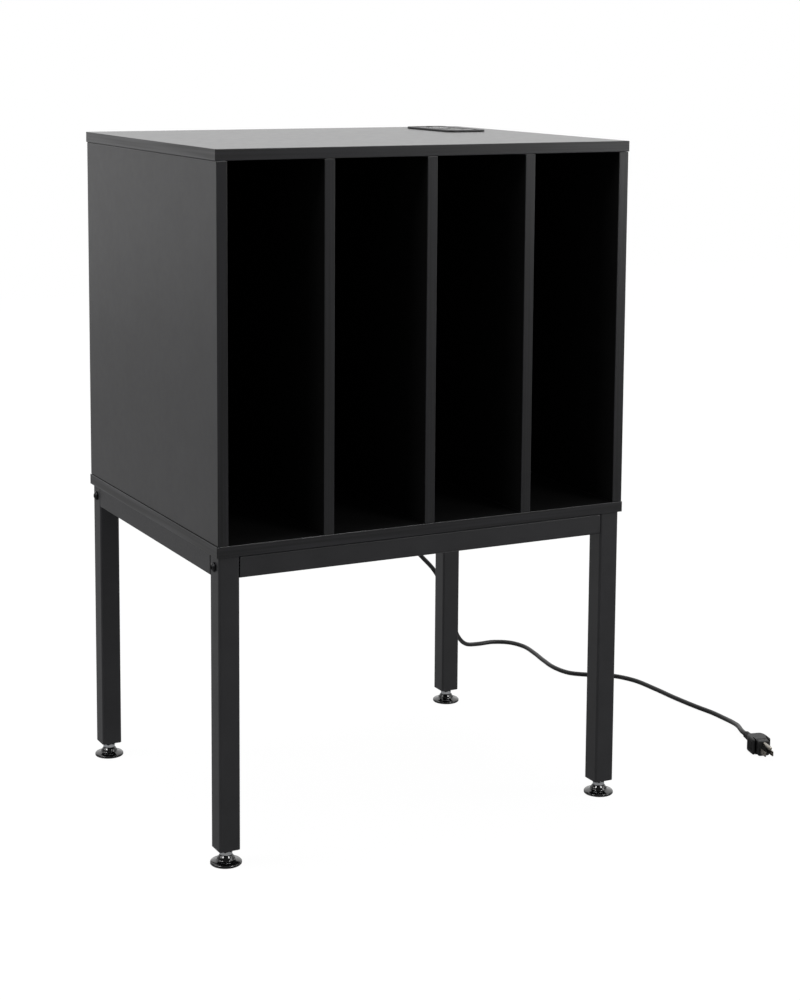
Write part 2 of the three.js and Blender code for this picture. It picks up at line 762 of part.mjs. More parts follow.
const plug = new THREE.Group();
plug.position.copy(plugPlace);
plug.rotation.z = -plugHeading;
stand.add(plug);

function plugOutline() {
  const nose = plugNoseWidth / 2;
  const slotRoot = plugBodyLength - plugGripSlotLength;
  const right = [
    ...profileOf(plugSideShares, plugBodyWidth, plugBodyLength),
    [nose + plugGripSlot, plugBodyLength], [nose + plugGripSlot, slotRoot], [nose, slotRoot],
    [nose, plugBodyLength + plugNoseLength],
  ];
  const outline = new THREE.Shape();
  outline.moveTo(...right[0]);
  for (const [x, y] of right.slice(1)) outline.lineTo(x, y);
  for (const [x, y] of [...right].reverse()) outline.lineTo(-x, y);
  outline.closePath();
  return outline;
}

function plugContacts() {
  const rise = plugHeight / 2 - plugPinOffset;
  return [
    { name: 'plug_blade_line', x: bladeSpacing / 2 - plugBladeThickness, z: -rise / 2, blade: true },
    { name: 'plug_blade_neutral', x: plugBladeThickness - bladeSpacing / 2, z: -rise / 2, blade: true },
    { name: 'plug_ground_pin', x: 0, z: plugPinOffset, blade: false },
  ];
}

function plugContact(contact, grow) {
  const face = plugBodyLength + plugNoseLength;
  const inner = face - plugPocketDepth - grow;
  if (!contact.blade) {
    const pin = rod(plugPinDiameter + 2 * grow, inner, face + plugPinLength, coarseSides);
    return turnedToY(pin).translate(contact.x, 0, contact.z);
  }
  const halfWidth = plugBladeThickness / 2 + grow;
  const halfHeight = plugBladeHeight / 2 + grow;
  return block(contact.x - halfWidth, contact.x + halfWidth, inner, face + plugBladeLength,
    contact.z - halfHeight, contact.z + halfHeight);
}

function makePlug() {
  const body = prism(plugOutline(), -plugHeight / 2, plugHeight / 2);
  const neckRoot = plugNeckLength + plugNeckRootDiameter / 2;
  const neck = turnedToY(rod(plugNeckTipDiameter, -neckRoot, 0, coarseSides, plugNeckRootDiameter));
  neck.translate(0, plugNeckRootDiameter / 2, 0);
  const pockets = plugContacts().map((contact) => plugContact(contact, fitGap));
  const facingAhead = new THREE.Matrix4().makeRotationZ(Math.PI);
  addPiece('plug_body', cut(join([body, neck]), pockets).applyMatrix4(facingAhead),
    finishes.plugVinyl(), 0, 0, 0, plug);
  for (const contact of plugContacts()) {
    addPiece(contact.name, plugContact(contact, 0).applyMatrix4(facingAhead), finishes.plugMetal(),
      0, 0, 0, plug);
  }
}

makeTopPanel();
makeBottomPanel();
makeSidePanels();
makeDividers();
makeBackPanel();
makeLegs();
makeCrossRails();
makeSideRails();
makeEndPlates();
makeLegBolts();
makeFrameScrews();
makeFeet();
makePowerModule();
makeLeadAndCord();
makePlug();

export default stand;
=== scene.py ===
# Record player stand: finishes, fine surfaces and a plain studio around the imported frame.
# Metres, +Z up, the origin on the floor under the middle of the stand, its front towards -Y.
import math

import bmesh
import bpy
from mathutils import Matrix, Vector


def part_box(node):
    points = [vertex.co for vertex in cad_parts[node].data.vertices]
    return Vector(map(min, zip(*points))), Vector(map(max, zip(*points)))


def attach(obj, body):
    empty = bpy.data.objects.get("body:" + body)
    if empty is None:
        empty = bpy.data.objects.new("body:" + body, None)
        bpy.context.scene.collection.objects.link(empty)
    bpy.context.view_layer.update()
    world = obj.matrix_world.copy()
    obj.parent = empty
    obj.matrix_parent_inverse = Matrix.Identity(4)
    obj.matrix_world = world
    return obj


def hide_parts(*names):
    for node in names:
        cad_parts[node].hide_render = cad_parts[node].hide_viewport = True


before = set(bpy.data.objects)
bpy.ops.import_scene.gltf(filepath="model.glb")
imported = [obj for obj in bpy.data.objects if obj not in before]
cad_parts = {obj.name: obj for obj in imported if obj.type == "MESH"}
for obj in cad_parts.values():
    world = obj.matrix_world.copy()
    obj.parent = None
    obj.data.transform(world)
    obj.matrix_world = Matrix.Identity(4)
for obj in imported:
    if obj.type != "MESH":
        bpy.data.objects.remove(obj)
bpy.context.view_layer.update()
scene = bpy.context.scene
corners = ["front_left", "front_right", "rear_left", "rear_right"]
mm = 0.001
print("frame loaded:", len(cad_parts), "nodes")


def millimetres(**sizes):  # sizes written in millimetres, in metres
    return {name: value * mm for name, value in sizes.items()}


def newObject(name, data):
    piece = bpy.data.objects.new(name, data)
    scene.collection.objects.link(piece)
    return piece


# Camera, at the photograph's own angle

camera = {
    "place": Vector((-1.03632, -2.13561, 0.87445)),
    "heading": 0.4764,  # turned right from +Y, in radians
    "tilt": 0.1268,  # below level
    "roll": 0.0069,
    "lens": 73.96,
    "sensor": 36,
    "riseShift": -0.2,
    "farthest": 50,
}


def makeCamera():
    sinH, cosH = math.sin(camera["heading"]), math.cos(camera["heading"])
    sinT, cosT = math.sin(camera["tilt"]), math.cos(camera["tilt"])
    ahead = Vector((sinH * cosT, cosH * cosT, -sinT))
    right = Vector((cosH, -sinH, 0))
    up = right.cross(ahead)
    sinR, cosR = math.sin(camera["roll"]), math.cos(camera["roll"])
    turn = Matrix((cosR * right + sinR * up, cosR * up - sinR * right, -ahead)).transposed()
    data = bpy.data.cameras.new("camera")
    data.lens = camera["lens"]
    data.sensor_width = camera["sensor"]
    data.shift_y = camera["riseShift"]
    data.clip_end = camera["farthest"]
    viewer = newObject("camera", data)
    viewer.matrix_world = Matrix.Translation(camera["place"]) @ turn.to_4x4()
    scene.camera = viewer


makeCamera()
scene.view_settings.view_transform = "Standard"
print("camera set")


# Node and shader helpers

def addNode(tree, kind, feeds=(), **values):
    # Feeds go to sockets by number; values go to settings, or to sockets where their name has a capital.
    # A node or one of its outputs is linked, and anything else is set.
    node = tree.nodes.new(kind)
    numbered = feeds if isinstance(feeds, dict) else dict(enumerate(feeds))
    for name, value in {**values, **numbered}.items():
        if isinstance(value, bpy.types.Node):
            value = value.outputs[0]
        if isinstance(name, str) and name[0].islower():
            setattr(node, name, value)
            continue
        socket = node.inputs[name if isinstance(name, int) else name.replace("_", " ")]
        if isinstance(value, bpy.types.NodeSocket):
            tree.links.new(value, socket)
        else:
            socket.default_value = value
    return node


def linear(code):  # an sRGB hex colour as the linear values that a shader takes
    channels = [int(code[i:i + 2], 16) / 255 for i in (1, 3, 5)]
    return (*[c / 12.92 if c <= 0.04045 else ((c + 0.055) / 1.055) ** 2.4 for c in channels], 1)


def speckle(tree, spacing, stretch=(1, 1, 1), detail=3.0):  # noise, its blobs about spacing metres apart
    place = addNode(tree, "ShaderNodeTexCoord").outputs["Object"]
    scale = [share / spacing for share in stretch]
    scaled = addNode(tree, "ShaderNodeMapping", Vector=place, Scale=scale)
    return addNode(tree, "ShaderNodeTexNoise", Vector=scaled, Scale=1.0, Detail=detail)


def mottle(tree, blobs, low, high, seen=(0.3, 0.7)):  # noise, from low to high between its seen limits
    return addNode(tree, "ShaderNodeMapRange", Value=speckle(tree, *blobs), From_Min=seen[0],
                   From_Max=seen[1], To_Min=low, To_Max=high)


def makeFinish(name, colour, roughness, metallic=0.0, tint=None, seen=(0.3, 0.7), sheen=None, grain=None,
               **sockets):
    material = bpy.data.materials.new(name)
    material.use_nodes = True
    tree = material.node_tree
    shader = tree.nodes["Principled BSDF"]
    values = {"Base Color": linear(colour), "Roughness": roughness, "Metallic": metallic, **sockets}
    for socket, value in values.items():
        shader.inputs[socket.replace("_", " ")].default_value = value
    if tint:  # darker colour, lighter colour and the noise between them
        darker, lighter, *blobs = tint
        mix = addNode(tree, "ShaderNodeMix",
                      {0: mottle(tree, blobs, 0, 1, seen), 6: linear(darker), 7: linear(lighter)},
                      data_type="RGBA")
        tree.links.new(mix.outputs[2], shader.inputs["Base Color"])
    if sheen:  # roughness at both ends of the noise
        low, high, *blobs = sheen
        tree.links.new(mottle(tree, blobs, low, high).outputs[0], shader.inputs["Roughness"])
    if grain:  # depth of the bump and its noise
        depth, *blobs = grain
        bump = addNode(tree, "ShaderNodeBump", Height=speckle(tree, *blobs), Distance=depth)
        tree.links.new(bump.outputs[0], shader.inputs["Normal"])
    return material


def edgeBand(name, darker, lighter, stretch):
    # Black ABS edging, extruded and buffed: fine drawn lines run along the band, some duller than others.
    # They are about 3 mm apart, coarser than the real ones, so that they show.
    lines = (3 * mm, stretch, 0)
    return makeFinish(name, "#1a1a1c", 0.32, IOR=1.5, tint=(darker, lighter, *lines), seen=(0.36, 0.64),
                      sheen=(0.37, 0.28, *lines), grain=(0.02 * mm, *lines))


finishes = {
    # Black melamine paper pressed on particle board: an even satin skin with a fine pebble
    # and very faint cloudy patches, which turns to a pale sheen at a flat angle.
    "face": makeFinish("blackMelamineFace", "#232325", 0.36, IOR=1.5, tint=("#202022", "#262628", 42 * mm),
                       sheen=(0.345, 0.375, 9 * mm), grain=(0.012 * mm, 0.55 * mm)),
    # The same paper on the slots' inner faces, painted darker and less glossy: painted shade, so the slots
    # read as wells.
    "inner": makeFinish("shadedInnerFace", "#070708", 0.62, IOR=1.4, Specular_IOR_Level=0.2,
                        tint=("#060607", "#090909", 30 * mm), grain=(0.012 * mm, 0.6 * mm)),
    # Lines across X on upright boards, and across Z on level ones. The upright bands are a shade darker than
    # the level ones: painted shade on the upright edges.
    "shadedUprightBand": edgeBand("shadedUprightEdgeBand", "#0c0c0e", "#1e1e21", (1, 0.015, 0.015)),
    "levelBand": edgeBand("levelEdgeBand", "#111113", "#232326", (0.015, 0.015, 1)),
    # Hardboard back with a rolled black coat: duller than the boards, with fibres under the paint.
    "hardboard": makeFinish("paintedHardboard", "#131314", 0.6, IOR=1.46,
                            tint=("#101011", "#161617", 6 * mm, (1, 1, 0.4)),
                            grain=(0.03 * mm, 1.1 * mm, (1, 1, 0.5), 4)),
    # Black polyester powder coat on steel tube: a low sheen with orange peel a millimetre or two wide.
    "coat": makeFinish("blackPowderCoat", "#1e1e21", 0.4, IOR=1.5, tint=("#1c1c1f", "#212124", 30 * mm),
                       sheen=(0.37, 0.44, 2.5 * mm), grain=(0.02 * mm, 1.6 * mm, (1, 1, 1), 1)),
    # Black-oxide steel fasteners: dark metal that is brighter where a key or a washer has rubbed it.
    "oxide": makeFinish("blackOxideSteel", "#1a1a1c", 0.34, 0.85, tint=("#141415", "#2a2a2c", 1.8 * mm),
                        sheen=(0.28, 0.42, 0.8 * mm)),
    # Bright zinc plate on turned steel: pale blue-grey metal with soft cloudy passivation.
    "zinc": makeFinish("brightZincPlate", "#d3d5d9", 0.24, 1, tint=("#c6c9ce", "#dedfe0", 3 * mm),
                       sheen=(0.18, 0.32, 1.2 * mm)),
    # Glossy black nylon of the foot pads: deep black with sharp highlights and a few fine scuffs.
    "nylon": makeFinish("glossyBlackNylon", "#0b0b0c", 0.12, IOR=1.53, sheen=(0.08, 0.16, 5 * mm),
                        grain=(0.006 * mm, 2.2 * mm, (1, 1, 1), 1)),
    # Spark-textured black ABS of the housing: a fine even grain that keeps the sheen low.
    "abs": makeFinish("texturedBlackAbs", "#17171a", 0.5, IOR=1.5, tint=("#151517", "#1b1b1e", 12 * mm),
                      grain=(0.02 * mm, 0.45 * mm)),
    # Black polycarbonate of the face plate: smoother than the housing round it, slightly glossy.
    "plate": makeFinish("blackPolycarbonate", "#121214", 0.38, IOR=1.5, sheen=(0.36, 0.42, 7 * mm),
                        grain=(0.005 * mm, 0.7 * mm)),
    # Rolled spring steel of the clips: grey metal with fine lines along the strip.
    "spring": makeFinish("rolledSpringSteel", "#8f9297", 0.34, 1,
                         tint=("#85888d", "#9b9ea2", 0.6 * mm, (1, 0.05, 1))),
    # Stamped brass contacts: warm yellow metal, a little tarnished in patches.
    "brass": makeFinish("stampedBrass", "#c0994f", 0.3, 1, tint=("#a98442", "#caa45a", 4 * mm)),
    # Green solder mask over copper: smooth lacquer that is lighter over the copper areas.
    "mask": makeFinish("greenSolderMask", "#1f5a34", 0.28, seen=(0.48, 0.52),
                       tint=("#174a2a", "#246a3d", 2.5 * mm, (1, 1, 1), 0)),
    # Extruded black PVC cord jacket: soft sheen with a faint waviness from the extruder.
    "jacket": makeFinish("blackVinylJacket", "#0d0d0e", 0.45, IOR=1.4, tint=("#0b0b0c", "#101011", 15 * mm),
                         grain=(0.03 * mm, 2.2 * mm)),
    # Moulded black PVC of the plug and its neck: a fine leathery grain, duller than the jacket.
    "vinyl": makeFinish("mouldedBlackVinyl", "#101011", 0.55, IOR=1.4, tint=("#0e0e0f", "#141415", 6 * mm),
                        grain=(0.03 * mm, 0.5 * mm)),
    # Nickel-plated brass blades: warm grey metal with soft patches.
    "nickel": makeFinish("nickelPlate", "#8d8981", 0.27, 1, tint=("#807c74", "#9b968e", 1.2 * mm)),
}
print("finishes made:", len(finishes))


# Mesh helpers

def pieceFrom(work, name, finishNames, smoothAngle=35):
    bmesh.ops.recalc_face_normals(work, faces=work.faces)
    mesh = bpy.data.meshes.new(name)
    work.to_mesh(mesh)
    work.free()
    for finishName in finishNames:
        mesh.materials.append(finishes[finishName])
    mesh.shade_smooth()
    mesh.set_sharp_from_angle(angle=math.radians(smoothAngle))
    return newObject(name, mesh)


def settled(piece):  # the modifiers' result becomes the piece's plain mesh
    depsgraph = bpy.context.evaluated_depsgraph_get()
    mesh = bpy.data.meshes.new_from_object(piece.evaluated_get(depsgraph))
    piece.modifiers.clear()
    piece.data = mesh
    return piece


def fitted(piece, slotName, *nodes, body="stand"):
    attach(piece, body)
    if nodes:
        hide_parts(*nodes)
    return piece


def dressed(node, finishName):  # a CAD shape that is kept as it is
    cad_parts[node].material_slots[0].material = finishes[finishName]


def measured(node):
    low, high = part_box(node)
    return low, high, (low + high) / 2


def titled(kind, corner):  # legFrontLeft from leg and front_left
    return kind + corner.title().replace("_", "")


def picked(sizes, names):  # several entries of a dictionary at once
    return [sizes[name] for name in names.split()]


def upward(height):
    return Vector((0, 0, height))


def joined(name, pieces, finishName, smoothAngle=35):
    work = bmesh.new()
    for piece in pieces:
        work.from_mesh(piece.data)
        bpy.data.objects.remove(piece)
    return pieceFrom(work, name, [finishName], smoothAngle)


def boxWork(low, high):  # a plain box between two corners
    work = bmesh.new()
    bmesh.ops.create_cube(work, size=1)
    bmesh.ops.scale(work, vec=high - low, verts=work.verts)
    bmesh.ops.translate(work, vec=(low + high) / 2, verts=work.verts)
    return work


def skinned(name, finishName, loops, smoothAngle=35, ring=False):  # faces from loop to loop, ends closed
    work = bmesh.new()
    rows = [[work.verts.new(point) for point in loop] for loop in loops]
    pairs = list(zip(rows, rows[1:])) + ([(rows[-1], rows[0])] if ring else [])
    for lower, upper in pairs:
        for i in range(len(lower)):
            j = (i + 1) % len(lower)
            work.faces.new((lower[i], lower[j], upper[j], upper[i]))
    if not ring:
        work.faces.new(list(reversed(rows[0])))
        work.faces.new(rows[-1])
    return pieceFrom(work, name, [finishName], smoothAngle)


def roundedLoop(width, length, radius, z, steps=6):  # a rounded rectangle about the Z axis
    loop = []
    for turn, (sx, sy) in enumerate([(1, 1), (-1, 1), (-1, -1), (1, -1)]):
        centre = Vector((sx * (width / 2 - radius), sy * (length / 2 - radius), z))
        for i in range(steps + 1):
            angle = math.radians(90) * (turn + i / steps)
            loop.append(centre + radius * Vector((math.cos(angle), math.sin(angle), 0)))
    return loop


def circleLoop(radius, z, sides):
    turns = [2 * math.pi * i / sides for i in range(sides)]
    return [Vector((radius * math.cos(a), radius * math.sin(a), z)) for a in turns]


def hexagon(across, z):
    return circleLoop(across / 2 / math.cos(math.radians(30)), z, 6)


def arc(centre, radius, start, end, steps=4):  # points of a profile round, angles in degrees
    angles = [math.radians(start + (end - start) * i / steps) for i in range(steps + 1)]
    return [(centre[0] + radius * math.cos(a), centre[1] + radius * math.sin(a)) for a in angles]


def turned(name, finishName, profile, sides, place=Matrix(), smoothAngle=35):
    loops = [[place @ point for point in circleLoop(radius, z, sides)] for radius, z in profile]
    return skinned(name, finishName, loops, smoothAngle)


def rimmed(name, finishName, profile, width, length, corner, centre, smoothAngle=40, ring=True):
    loops = []  # the profile of (inset, height), carried round a rounded rectangle
    for inset, z in profile:
        loop = roundedLoop(width - 2 * inset, length - 2 * inset, max(corner - inset, 0.4 * mm), z)
        loops.append([point + centre for point in loop])
    return skinned(name, finishName, loops, smoothAngle, ring)


def softBlock(name, finishName, centre, width, length, corner, low, high, edge):
    slope = edge * 0.29  # where a round of that size turns through 45 degrees
    rounds = [(edge, low), (0, low + edge), (0, high - edge), (slope, high - slope), (edge, high)]
    return rimmed(name, finishName, rounds, width, length, corner, centre, ring=False)


def cutBy(piece, cutters, operation="DIFFERENCE"):
    for cutter in cutters:
        hole = piece.modifiers.new("hole", "BOOLEAN")
        hole.operation = operation
        hole.solver = "EXACT"
        hole.object = cutter
    settled(piece)
    for cutter in cutters:
        bpy.data.objects.remove(cutter)
    return piece


def blockCutter(low, high, corner=0.3 * mm):
    size = high - low
    centre = (low + high) / 2
    shape = [roundedLoop(size.x, size.y, corner, z, 3) for z in (-size.z / 2, size.z / 2)]
    return skinned("cutter", "abs", [[point + centre for point in loop] for loop in shape])


def rodCutter(radius, start, end, sides=32):
    along = end - start
    place = Matrix.Translation(start) @ along.to_track_quat("Z", "Y").to_matrix().to_4x4()
    return turned("cutter", "abs", [(radius, 0), (radius, along.length)], sides, place)


def roundedEdges(piece, width, segments=2, angle=40):
    rounding = piece.modifiers.new("edges", "BEVEL")
    rounding.width = width
    rounding.segments = segments
    rounding.limit_method = "ANGLE"
    rounding.angle_limit = math.radians(angle)
    rounding.harden_normals = True
    return settled(piece)


def flatShaded(piece):  # broad faces shade flat, and only the small rounds at their edges bend the light
    weighting = piece.modifiers.new("flatShading", "WEIGHTED_NORMAL")
    weighting.keep_sharp = True
    weighting.mode = "FACE_AREA"
    return piece


def carriedCopy(node, name, finishName, bevel):  # a CAD shape that keeps its form, with its edges broken
    work = bmesh.new()
    work.from_mesh(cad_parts[node].data)
    bmesh.ops.remove_doubles(work, verts=work.verts, dist=0.002 * mm)
    bmesh.ops.dissolve_limit(work, angle_limit=math.radians(1), verts=work.verts, edges=work.edges)
    return roundedEdges(pieceFrom(work, name, [finishName], 30), bevel)


# Geometry node helpers

def startTree(name, sizes, onPoints=False):  # with onPoints, an item is set on the points of a base mesh
    tree = bpy.data.node_groups.new(name, "GeometryNodeTree")
    kinds = {int: "NodeSocketInt", float: "NodeSocketFloat"}
    labels = {"Geometry": "NodeSocketGeometry", "Item": "NodeSocketObject"} if onPoints else {}
    labels.update({label: kinds[type(value)] for label, value in sizes.items()})
    labels["Finish"] = "NodeSocketMaterial"
    for label, kind in labels.items():
        socket = tree.interface.new_socket(label, in_out="INPUT", socket_type=kind)
        if label in sizes:
            socket.default_value = sizes[label]
    tree.interface.new_socket("Geometry", in_out="OUTPUT", socket_type="NodeSocketGeometry")
    return tree, addNode(tree, "NodeGroupInput").outputs


def endTree(tree, sizes, geometry):
    real = addNode(tree, "GeometryNodeRealizeInstances", Geometry=geometry)
    coated = addNode(tree, "GeometryNodeSetMaterial", Geometry=real, Material=sizes["Finish"])
    addNode(tree, "NodeGroupOutput", Geometry=coated)
    return tree


def grown(name, tree, sizes, finishName, place=Matrix(), base=None):
    piece = newObject(name, base or bpy.data.meshes.new(name))
    growth = piece.modifiers.new("shape", "NODES")
    growth.node_group = tree
    values = dict(sizes, Finish=finishes[finishName])
    for item in tree.interface.items_tree:
        if item.in_out == "INPUT" and item.name in values:
            growth[item.identifier] = values[item.name]
    settled(piece)
    work = bmesh.new()
    work.from_mesh(piece.data)
    bmesh.ops.transform(work, matrix=place, verts=work.verts)
    bmesh.ops.remove_doubles(work, verts=work.verts, dist=0.001 * mm)
    bpy.data.objects.remove(piece)
    return pieceFrom(work, name, [finishName])


# Mains cord, first because it sets how far the model reaches

cordSizes = {
    "diameter": 6 * mm,
    "plugPlace": Vector((490, -146, 10.4)) * mm,
    "plugHeading": 0.22,  # turned right from -Y, in radians
    "neckLength": 22 * mm,
    "faceGap": 0.3 * mm,
    "stepsPerSpan": 12,
    "roundness": 6,
    "innerSides": 40,
    "route": [  # millimetres
        (182, 240, 737.6), (182, 260, 731), (182, 276, 714), (181, 282, 690), (177, 284, 640),
        (171, 285, 560), (166, 286, 470), (166, 287, 380), (176, 289, 300), (198, 292, 240),
        (226, 296, 200), (256, 302, 169), (283, 309, 141), (306, 321, 103), (328, 338, 56),
        (346, 355, 28), (368, 371, 10), (393, 382, 3.6), (419, 382, 3.2), (439, 369, 3.2),
        (448, 343, 3.2), (445, 308, 3.2), (439, 274, 3.2), (435, 238, 3.2), (441, 208, 3.2),
        (462, 188, 3.2), (487, 171, 3.2), (503, 141, 3.2), (508, 98, 3.2), (510, 56, 3.2),
        (514, 14, 3.2), (519, -20, 3.2), (519, -46, 3.7), (516, -67, 5.4), (509.5, -87, 8),
    ],
}
plugAhead = Vector((-math.sin(cordSizes["plugHeading"]), -math.cos(cordSizes["plugHeading"]), 0))


def cordPoints():
    low, high, centre = measured("cord_gland")
    start = Vector((centre.x, high.y + cordSizes["faceGap"], centre.z))
    tail = cordSizes["plugPlace"] - (cordSizes["neckLength"] + cordSizes["faceGap"]) * plugAhead
    beforeTail = tail - 2 * cordSizes["diameter"] * plugAhead
    return [start] + [Vector(point) * mm for point in cordSizes["route"]] + [beforeTail, tail]


def smoothRoute(points, steps):  # centripetal Catmull-Rom, as the CAD route runs
    ends = [2 * points[0] - points[1]] + points + [2 * points[-1] - points[-2]]
    route = []
    for p0, p1, p2, p3 in zip(ends, ends[1:], ends[2:], ends[3:]):
        d0, d1, d2 = (math.sqrt((b - a).length) for a, b in ((p0, p1), (p1, p2), (p2, p3)))
        m1 = ((p1 - p0) / d0 - (p2 - p0) / (d0 + d1) + (p2 - p1) / d1) * d1
        m2 = ((p2 - p1) / d1 - (p3 - p1) / (d1 + d2) + (p3 - p2) / d2) * d1
        for i in range(steps):
            t = i / steps
            route.append((2 * t**3 - 3 * t**2 + 1) * p1 + (t**3 - 2 * t**2 + t) * m1
                         + (3 * t**2 - 2 * t**3) * p2 + (t**3 - t**2) * m2)
    return route + [points[-1]]


def makeCord():
    route = smoothRoute(cordPoints(), cordSizes["stepsPerSpan"])
    line = bpy.data.curves.new("mainsCord", "CURVE")
    line.dimensions = "3D"
    line.bevel_depth = cordSizes["diameter"] / 2
    line.bevel_resolution = cordSizes["roundness"]
    line.use_fill_caps = True
    spline = line.splines.new("POLY")
    spline.points.add(len(route) - 1)
    for spot, point in zip(spline.points, route):
        spot.co = (*point, 1)
    line.materials.append(finishes["jacket"])
    piece = fitted(newObject("mainsCord", line), "cord_vinyl", "power_cord")
    length = sum((b - a).length for a, b in zip(route, route[1:]))
    return piece, route[0], length


mainsCord, cordExit, cordLength = makeCord()
print("cord laid:", round(cordLength, 4), "m")


# Boards

boardSizes = dict(
    millimetres(edgeRound=0.5, bandThickness=1, leastWidth=20, groovePlay=0.3, grooveCorner=0.1,
                throatInset=4, throatLength=112, throatCorner=4, throatReach=5),
    segments=3,
)
boardNodes = {
    "top_panel": "topBoard", "bottom_panel": "bottomBoard", "left_side_panel": "leftBoard",
    "right_side_panel": "rightBoard", "divider_1": "dividerBoardLeft", "divider_2": "dividerBoardMiddle",
    "divider_3": "dividerBoardRight",
}


def makeBoard(node, name, cutters):
    low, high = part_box(node)
    size = high - low
    thin = min(range(3), key=lambda axis: size[axis])
    work = boxWork(low, high)
    bmesh.ops.bevel(work, geom=work.edges[:], offset=boardSizes["edgeRound"],
                    segments=boardSizes["segments"], profile=0.5, affect="EDGES")
    leastArea = size.length * boardSizes["leastWidth"]
    broad = [face for face in work.faces if abs(face.normal[thin]) > 0.99 and face.calc_area() > leastArea]
    for face in work.faces:
        face.material_index = 1
    bmesh.ops.inset_individual(work, faces=broad, thickness=boardSizes["bandThickness"])
    heart = upward(measured("divider_2")[2].z)
    for face in broad:
        # Broad faces inside the cabinet, and both faces of each divider, take the inner finish: painted shade
        # in the slots.
        inward = node.startswith("divider") or face.normal.dot(heart - face.calc_center_median()) > 0
        face.material_index = 2 if inward else 0
    board = pieceFrom(work, name, ["face", "shadedUprightBand" if thin == 0 else "levelBand", "inner"], 60)
    if cutters:
        cutBy(board, cutters)
    fitted(flatShaded(board), "board", node)


def makeBoards():
    size = boardSizes
    low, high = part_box("module_housing")
    inset = size["throatInset"]
    throatLow = Vector((low.x + inset, low.y + inset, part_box("top_panel")[0].z - size["throatReach"]))
    throatHigh = Vector((high.x - inset, low.y + size["throatLength"], high.z + size["throatReach"]))
    low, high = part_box("back_panel")
    play = Vector([size["groovePlay"]] * 3)
    groove = blockCutter(low - play, high + play, size["grooveCorner"])
    for node, name in boardNodes.items():
        cutters = []
        if node == "top_panel":
            cutters.append(blockCutter(throatLow, throatHigh, size["throatCorner"]))
        if not node.startswith("divider"):
            cutters.append(newObject("cutter", groove.data.copy()))
        makeBoard(node, name, cutters)
    bpy.data.objects.remove(groove)


makeBoards()
print("boards made")


# Steel frame: square tubes grown along their length, then drilled

tubeSizes = millimetres(wall=1.2, rimRound=0.25, boltHole=3.3, screwHole=2.3, accessHole=4.6)
tubeShape = {"Side": 24 * mm, "Corner": 2.5 * mm, "Corner Points": 7}
beadShape = {"Length": 20 * mm, "Ripples": 13, "Width": 3.6 * mm, "Rise": 0.9 * mm, "Overlap": 1.1,
             "Smallest": 0.85, "Largest": 1.1, "Seed": 7}
quarter = math.radians(90)
alongX = Matrix.Rotation(quarter, 4, "Y")
alongY = Matrix.Rotation(-quarter, 4, "X")
aboutZ = Matrix.Rotation(quarter, 4, "Z")


def squareTubeTree():
    tree, sizes = startTree("squareTube", dict(tubeShape, Length=0.3))
    end = addNode(tree, "ShaderNodeCombineXYZ", Z=sizes["Length"])
    line = addNode(tree, "GeometryNodeCurvePrimitiveLine", End=end)
    section = addNode(tree, "GeometryNodeCurvePrimitiveQuadrilateral", Width=sizes["Side"],
                      Height=sizes["Side"])
    rounded = addNode(tree, "GeometryNodeFilletCurve", mode="POLY", Curve=section,
                      Count=sizes["Corner Points"], Radius=sizes["Corner"])
    skin = addNode(tree, "GeometryNodeCurveToMesh", Curve=line, Profile_Curve=rounded)
    return endTree(tree, sizes, skin)


def weldBeadTree():  # a row of overlapping ripples, each a little larger or smaller than the last
    tree, sizes = startTree("weldBead", beadShape)
    step = addNode(tree, "ShaderNodeMath", [sizes["Length"], sizes["Ripples"]], operation="DIVIDE")
    offset = addNode(tree, "ShaderNodeCombineXYZ", Z=step)
    row = addNode(tree, "GeometryNodeMeshLine", Count=sizes["Ripples"], Offset=offset)
    ripple = addNode(tree, "GeometryNodeMeshUVSphere", Segments=14, Rings=8, Radius=1.0)
    uneven = addNode(tree, "FunctionNodeRandomValue", {2: sizes["Smallest"], 3: sizes["Largest"]},
                     data_type="FLOAT", Seed=sizes["Seed"]).outputs[1]
    half = addNode(tree, "ShaderNodeMath", [sizes["Width"], 0.5], operation="MULTIPLY")
    across = addNode(tree, "ShaderNodeMath", [half, uneven], operation="MULTIPLY")
    rise = addNode(tree, "ShaderNodeMath", [sizes["Rise"], uneven], operation="MULTIPLY")
    overlap = addNode(tree, "ShaderNodeMath", [step, sizes["Overlap"]], operation="MULTIPLY")
    size = addNode(tree, "ShaderNodeCombineXYZ", X=rise, Y=across, Z=overlap)
    beads = addNode(tree, "GeometryNodeInstanceOnPoints", Points=row, Instance=ripple, Scale=size)
    return endTree(tree, sizes, beads)


tubeTree = squareTubeTree()
beadTree = weldBeadTree()
tubeTurns = [alongX, alongY, Matrix()]


def makeTube(node, name, axis, cutters=()):
    low, high, start = measured(node)
    start[axis] = low[axis]
    sizes = dict(tubeShape, Length=(high - low)[axis])
    tube = grown(name, tubeTree, sizes, "coat", Matrix.Translation(start) @ tubeTurns[axis])
    wall = tube.modifiers.new("wall", "SOLIDIFY")
    wall.thickness = tubeSizes["wall"]
    wall.offset = -1
    settled(tube)
    if cutters:
        cutBy(tube, cutters)
    roundedEdges(tube, tubeSizes["rimRound"], 2, 60)
    fitted(flatShaded(tube), "frame_steel", node)


def makeLegs():
    reach = Vector((tubeShape["Side"], 0, 0))
    for corner in corners:
        middle = measured(f"leg_bolt_{corner}")[2]
        middle.x = measured(f"leg_{corner}")[2].x
        hole = rodCutter(tubeSizes["boltHole"], middle - reach, middle + reach)
        makeTube(f"leg_{corner}", titled("leg", corner), 2, [hole])


